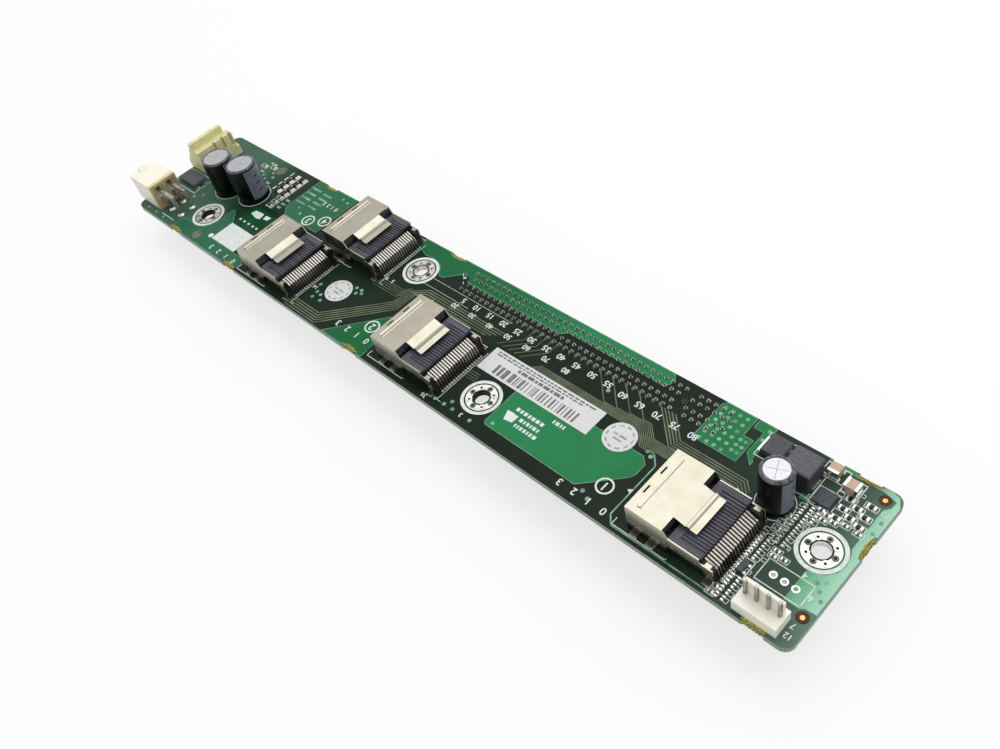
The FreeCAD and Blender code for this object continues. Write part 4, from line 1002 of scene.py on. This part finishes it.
# More tiny chips among the outlines, each a ceramic block between two soldered ends
extra = [(-9.4, 0.9), (-9.4, -0.8), (-3.5, 5.9), (-4.9, 7.8), (-11.5, -20.6), (-11.5, -18.9), (-6.5, -5.4),
         (-6.5, -6.8), (-4.4, -6.3), (-3.4, 7.4), (-7.9, 9.0), (-9.3, 3.0), (-1.6, 6.6), (0.6, 7.4),
         (3.6, 7.2)]
bm = bmesh.new()
ends = bmesh.new()
for x, y in extra + [(-20.4, -0.6)]:
    bar(bm, x - 0.3, y, x + 0.3, y, 0.5, TOP, TOP + 0.4)
    for side in (-1, 1):
        bar(ends, x + side * 0.42 - 0.12, y, x + side * 0.42 + 0.12, y, 0.52, TOP, TOP + 0.42)
        fillet(ends, x + side * 0.45 - 0.15, y - 0.26, x + side * 0.45 + 0.15, y + 0.26, 0.17, 0.25)
put("extra_chip_bodies", bm, brown)
put("extra_chip_ends", ends, reflowed)

# Printed outlines, with more room at a chip's soldered ends than along its sides
bm = bmesh.new()
for node, room, width in (("ceramic_capacitor_bodies", 1.1, BROAD_LINE), ("chip_resistor_bodies", 0.4, 0.15),
                          ("chip_capacitor_bodies", 0.3, FINE_LINE)):
    end = room + (0.3 if node == "ceramic_capacitor_bodies" else 0.55)
    for x0, y0, x1, y1 in islands(node):
        if x1 - x0 > y1 - y0 or node == "chip_resistor_bodies":
            box(bm, x0 - end, y0 - room * 0.8, x1 + end, y1 + room * 0.8, width)
        else:
            box(bm, x0 - room * 0.9, y0 - end, x1 + room * 0.9, y1 + end, width)
for node, room in (("choke_core", 0.6), ("power_switch_body", 0.9), ("control_chip_body", 0.6),
                   ("regulator_body", 1.4), ("transistor_body", 0.8)):
    for x0, y0, x1, y1 in islands(node):
        box(bm, x0 - room, y0 - room, x1 + room, y1 + room, BROAD_LINE)
for x, y in extra:
    box(bm, x - 1.1, y - 0.62, x + 1.1, y + 0.62, FINE_LINE)
box(bm, -6.8, -12.9, 3.4, -7.5, BROAD_LINE)
for x, y in ((-5.3, 2.9), (-5.3, 4.1), (-5.4, -3.6), (-10.9, -2.2), (-8.3, -12.6), (-7.3, -8.6), (5.2, 14.2),
             (-0.4, 15.6)):
    # Outlines of places left unfitted
    box(bm, x - 0.6, y - 0.4, x + 0.6, y + 0.4, FINE_LINE)
put("print_chip_outlines", bm, ink)

# Unfitted footprint: three tinned rings round open holes
bm = bmesh.new()
for x in (-4.2, -1.7, 0.8):
    ring(bm, x, -10.15, 0.5, 0.86, TOP, TOP + 0.02, 28)
    ring(bm, x, -10.15, 0.48, 0.52, 0.0, TOP + 0.02, 28)
put("spare_hole_pads", bm, tin)

# Label and stickers
# A long white paper label with a thermally printed bar pattern, and two round inspection stickers.
# All three are die-cut coated paper with a gummed back.
STICKERS = ((-145.2, -9.2), (-49.7, -2.1))
STICKER_TOP = TOP + 0.1
STAMP = TOP + 0.12

# Coated label paper: bright, matt, with a faint 0.8 mm fibre mottle.
paper = mottled("coated_label_paper", {"IOR": 1.45, "Roughness": 0.65, "Specular IOR Level": 0.3}, size=0.8,
                detail=4.0, stops=[(0.0, "#cfcfcf"), (1.0, "#e4e4e4")])
# Thermal print: dark grey, a little uneven.
thermal = mottled("thermal_print", {"IOR": 1.45, "Roughness": 0.6, "Specular IOR Level": 0.3}, size=1.5,
                  detail=3.0, stops=[(0.0, "#4c4c4e"), (1.0, "#8c8c8e")])
# Stamped ink: pale grey, half absorbed by the paper.
stamped = mottled("stamped_grey_ink", {"IOR": 1.45, "Roughness": 0.6, "Specular IOR Level": 0.3}, size=1.0,
                  detail=3.0, stops=[(0.3, "#83888a"), (0.7, "#b2b6b6")])
dress(paper, "barcode_label")

label_low, label_high = extent("barcode_label")
paper_top = label_high.z
print_top = paper_top + 0.012
bm = bmesh.new()
pick = random.Random(11)
x = label_low.x + 5.0
while x < label_high.x - 4.6:
    wide = pick.choice((0.25, 0.4, 0.6, 0.9))
    bar(bm, x, label_low.y + 0.7, x, label_low.y + 3.7, wide, paper_top, print_top)
    x += wide / 2 + pick.choice((0.5, 0.7, 1.0))
for down, start, end, tall in ((0.8, 1.6, 33.0, 0.45), (1.6, 1.6, 29.0, 0.4), (2.7, 10.0, 25.0, 0.9)):
    # Rows of dashes over the bars
    y = label_high.y - down
    x = label_low.x + start
    while x < label_low.x + end:
        wide = pick.choice((0.8, 1.3, 1.9))
        bar(bm, x, y, x + wide, y, tall, paper_top, print_top)
        x += wide + 0.35
put("label_print", bm, thermal)

bm = bmesh.new()
marks = bmesh.new()
for x, y in STICKERS:
    disc(bm, x, y, TOP + 0.06, 4.1, 4.06, 0.1, 64)
    for i in range(10):
        ring(marks, x, y, 3.0, 3.4, STICKER_TOP, STAMP, 4, math.tau * i / 10, 0.36)
    for dx, dy, wide in ((-1.9, 0.3, 1.2), (-0.2, 0.3, 1.9), (-1.2, -0.9, 2.4)):
        bar(marks, x + dx, y + dy, x + dx + wide, y + dy, 0.5, STICKER_TOP, STAMP)
put("round_stickers", bm, paper)
put("sticker_print", marks, stamped)

# Studio
# A plain white table, one wide soft box above and behind, and a pale room that is brighter behind the card.
# The camera stands where the photograph was taken from.
low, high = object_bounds()
bm = bmesh.new()
bmesh.ops.create_grid(bm, x_segments=1, y_segments=1, size=3.0,
                      matrix=Matrix.Translation(Vector((-0.1, 0.0, low.z - 0.0002))))
mesh = bpy.data.meshes.new("table")
bm.to_mesh(mesh)
bm.free()
table = bpy.data.objects.new("table", mesh)
bpy.context.scene.collection.objects.link(table)
# Matt table: white to the eye and in the metal, with the card's soft shadow kept, and a grey for stray light.
white = bpy.data.materials.new("white_table")
white.use_nodes = True
tree = white.node_tree
tree.nodes.clear()
path = add(tree, "ShaderNodeLightPath")
mirrored = add(tree, "ShaderNodeMath", {},
               {0: path.outputs["Is Camera Ray"], 1: path.outputs["Is Glossy Ray"]})
seen = add(tree, "ShaderNodeMath", {}, {0: mirrored.outputs[0], 1: path.outputs["Is Transmission Ray"]},
           use_clamp=True)
glow = add(tree, "ShaderNodeEmission", {"Color": (1.0, 1.0, 1.0, 1.0), "Strength": 1.0})
matt = add(tree, "ShaderNodeBsdfDiffuse", {"Color": linear("#fafafa")})
pale = add(tree, "ShaderNodeMixShader", {0: 0.3}, {1: glow.outputs[0], 2: matt.outputs[0]})
stray = add(tree, "ShaderNodeBsdfDiffuse", {"Color": linear("#c4c4c4")})
both = add(tree, "ShaderNodeMixShader", {}, {0: seen.outputs[0], 1: stray.outputs[0], 2: pale.outputs[0]})
add(tree, "ShaderNodeOutputMaterial", links={"Surface": both.outputs[0]})
table.data.materials.append(white)
table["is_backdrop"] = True

world = bpy.data.worlds.new("pale_room")
world.use_nodes = True
tree = world.node_tree
tree.nodes.clear()
place = add(tree, "ShaderNodeTexCoord")
lean = add(tree, "ShaderNodeVectorMath", {1: (-0.45, 0.55, 0.70)}, {0: place.outputs["Generated"]},
           operation="DOT_PRODUCT")
strength = add(tree, "ShaderNodeMapRange", {"From Min": -1.0, "To Min": 0.52, "To Max": 0.92},
               {"Value": lean.outputs["Value"]})
room = add(tree, "ShaderNodeBackground", {"Color": (1.0, 1.0, 1.0, 1.0)},
           {"Strength": strength.outputs["Result"]})
add(tree, "ShaderNodeOutputWorld", links={"Surface": room.outputs[0]})
bpy.context.scene.world = world

lamp = bpy.data.lights.new("soft_box", "AREA")
lamp.shape = "RECTANGLE"
lamp.size = 0.88
lamp.size_y = 0.40
lamp.energy = 1.4
softbox = bpy.data.objects.new("soft_box", lamp)
softbox.location = (-0.09, 0.25, 0.6)
softbox.visible_camera = False
bpy.context.scene.collection.objects.link(softbox)

view = bpy.data.cameras.new("camera")
view.sensor_width = 36.0
view.lens = 34.127
view.clip_start = 0.005
view.clip_end = 20.0
camera = bpy.data.objects.new("camera", view)
right = Vector((0.70273, 0.68640, -0.18716))
up = Vector((-0.43901, 0.62536, 0.64513))
back = Vector((0.55986, -0.37119, 0.74080))
turn = Matrix((right, up, back)).transposed()
camera.matrix_world = Matrix.Translation((0.044818, -0.091153, 0.174142)) @ turn.to_4x4()
bpy.context.scene.collection.objects.link(camera)
bpy.context.scene.camera = camera
bpy.context.scene.view_settings.view_transform = "Standard"

low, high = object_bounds()
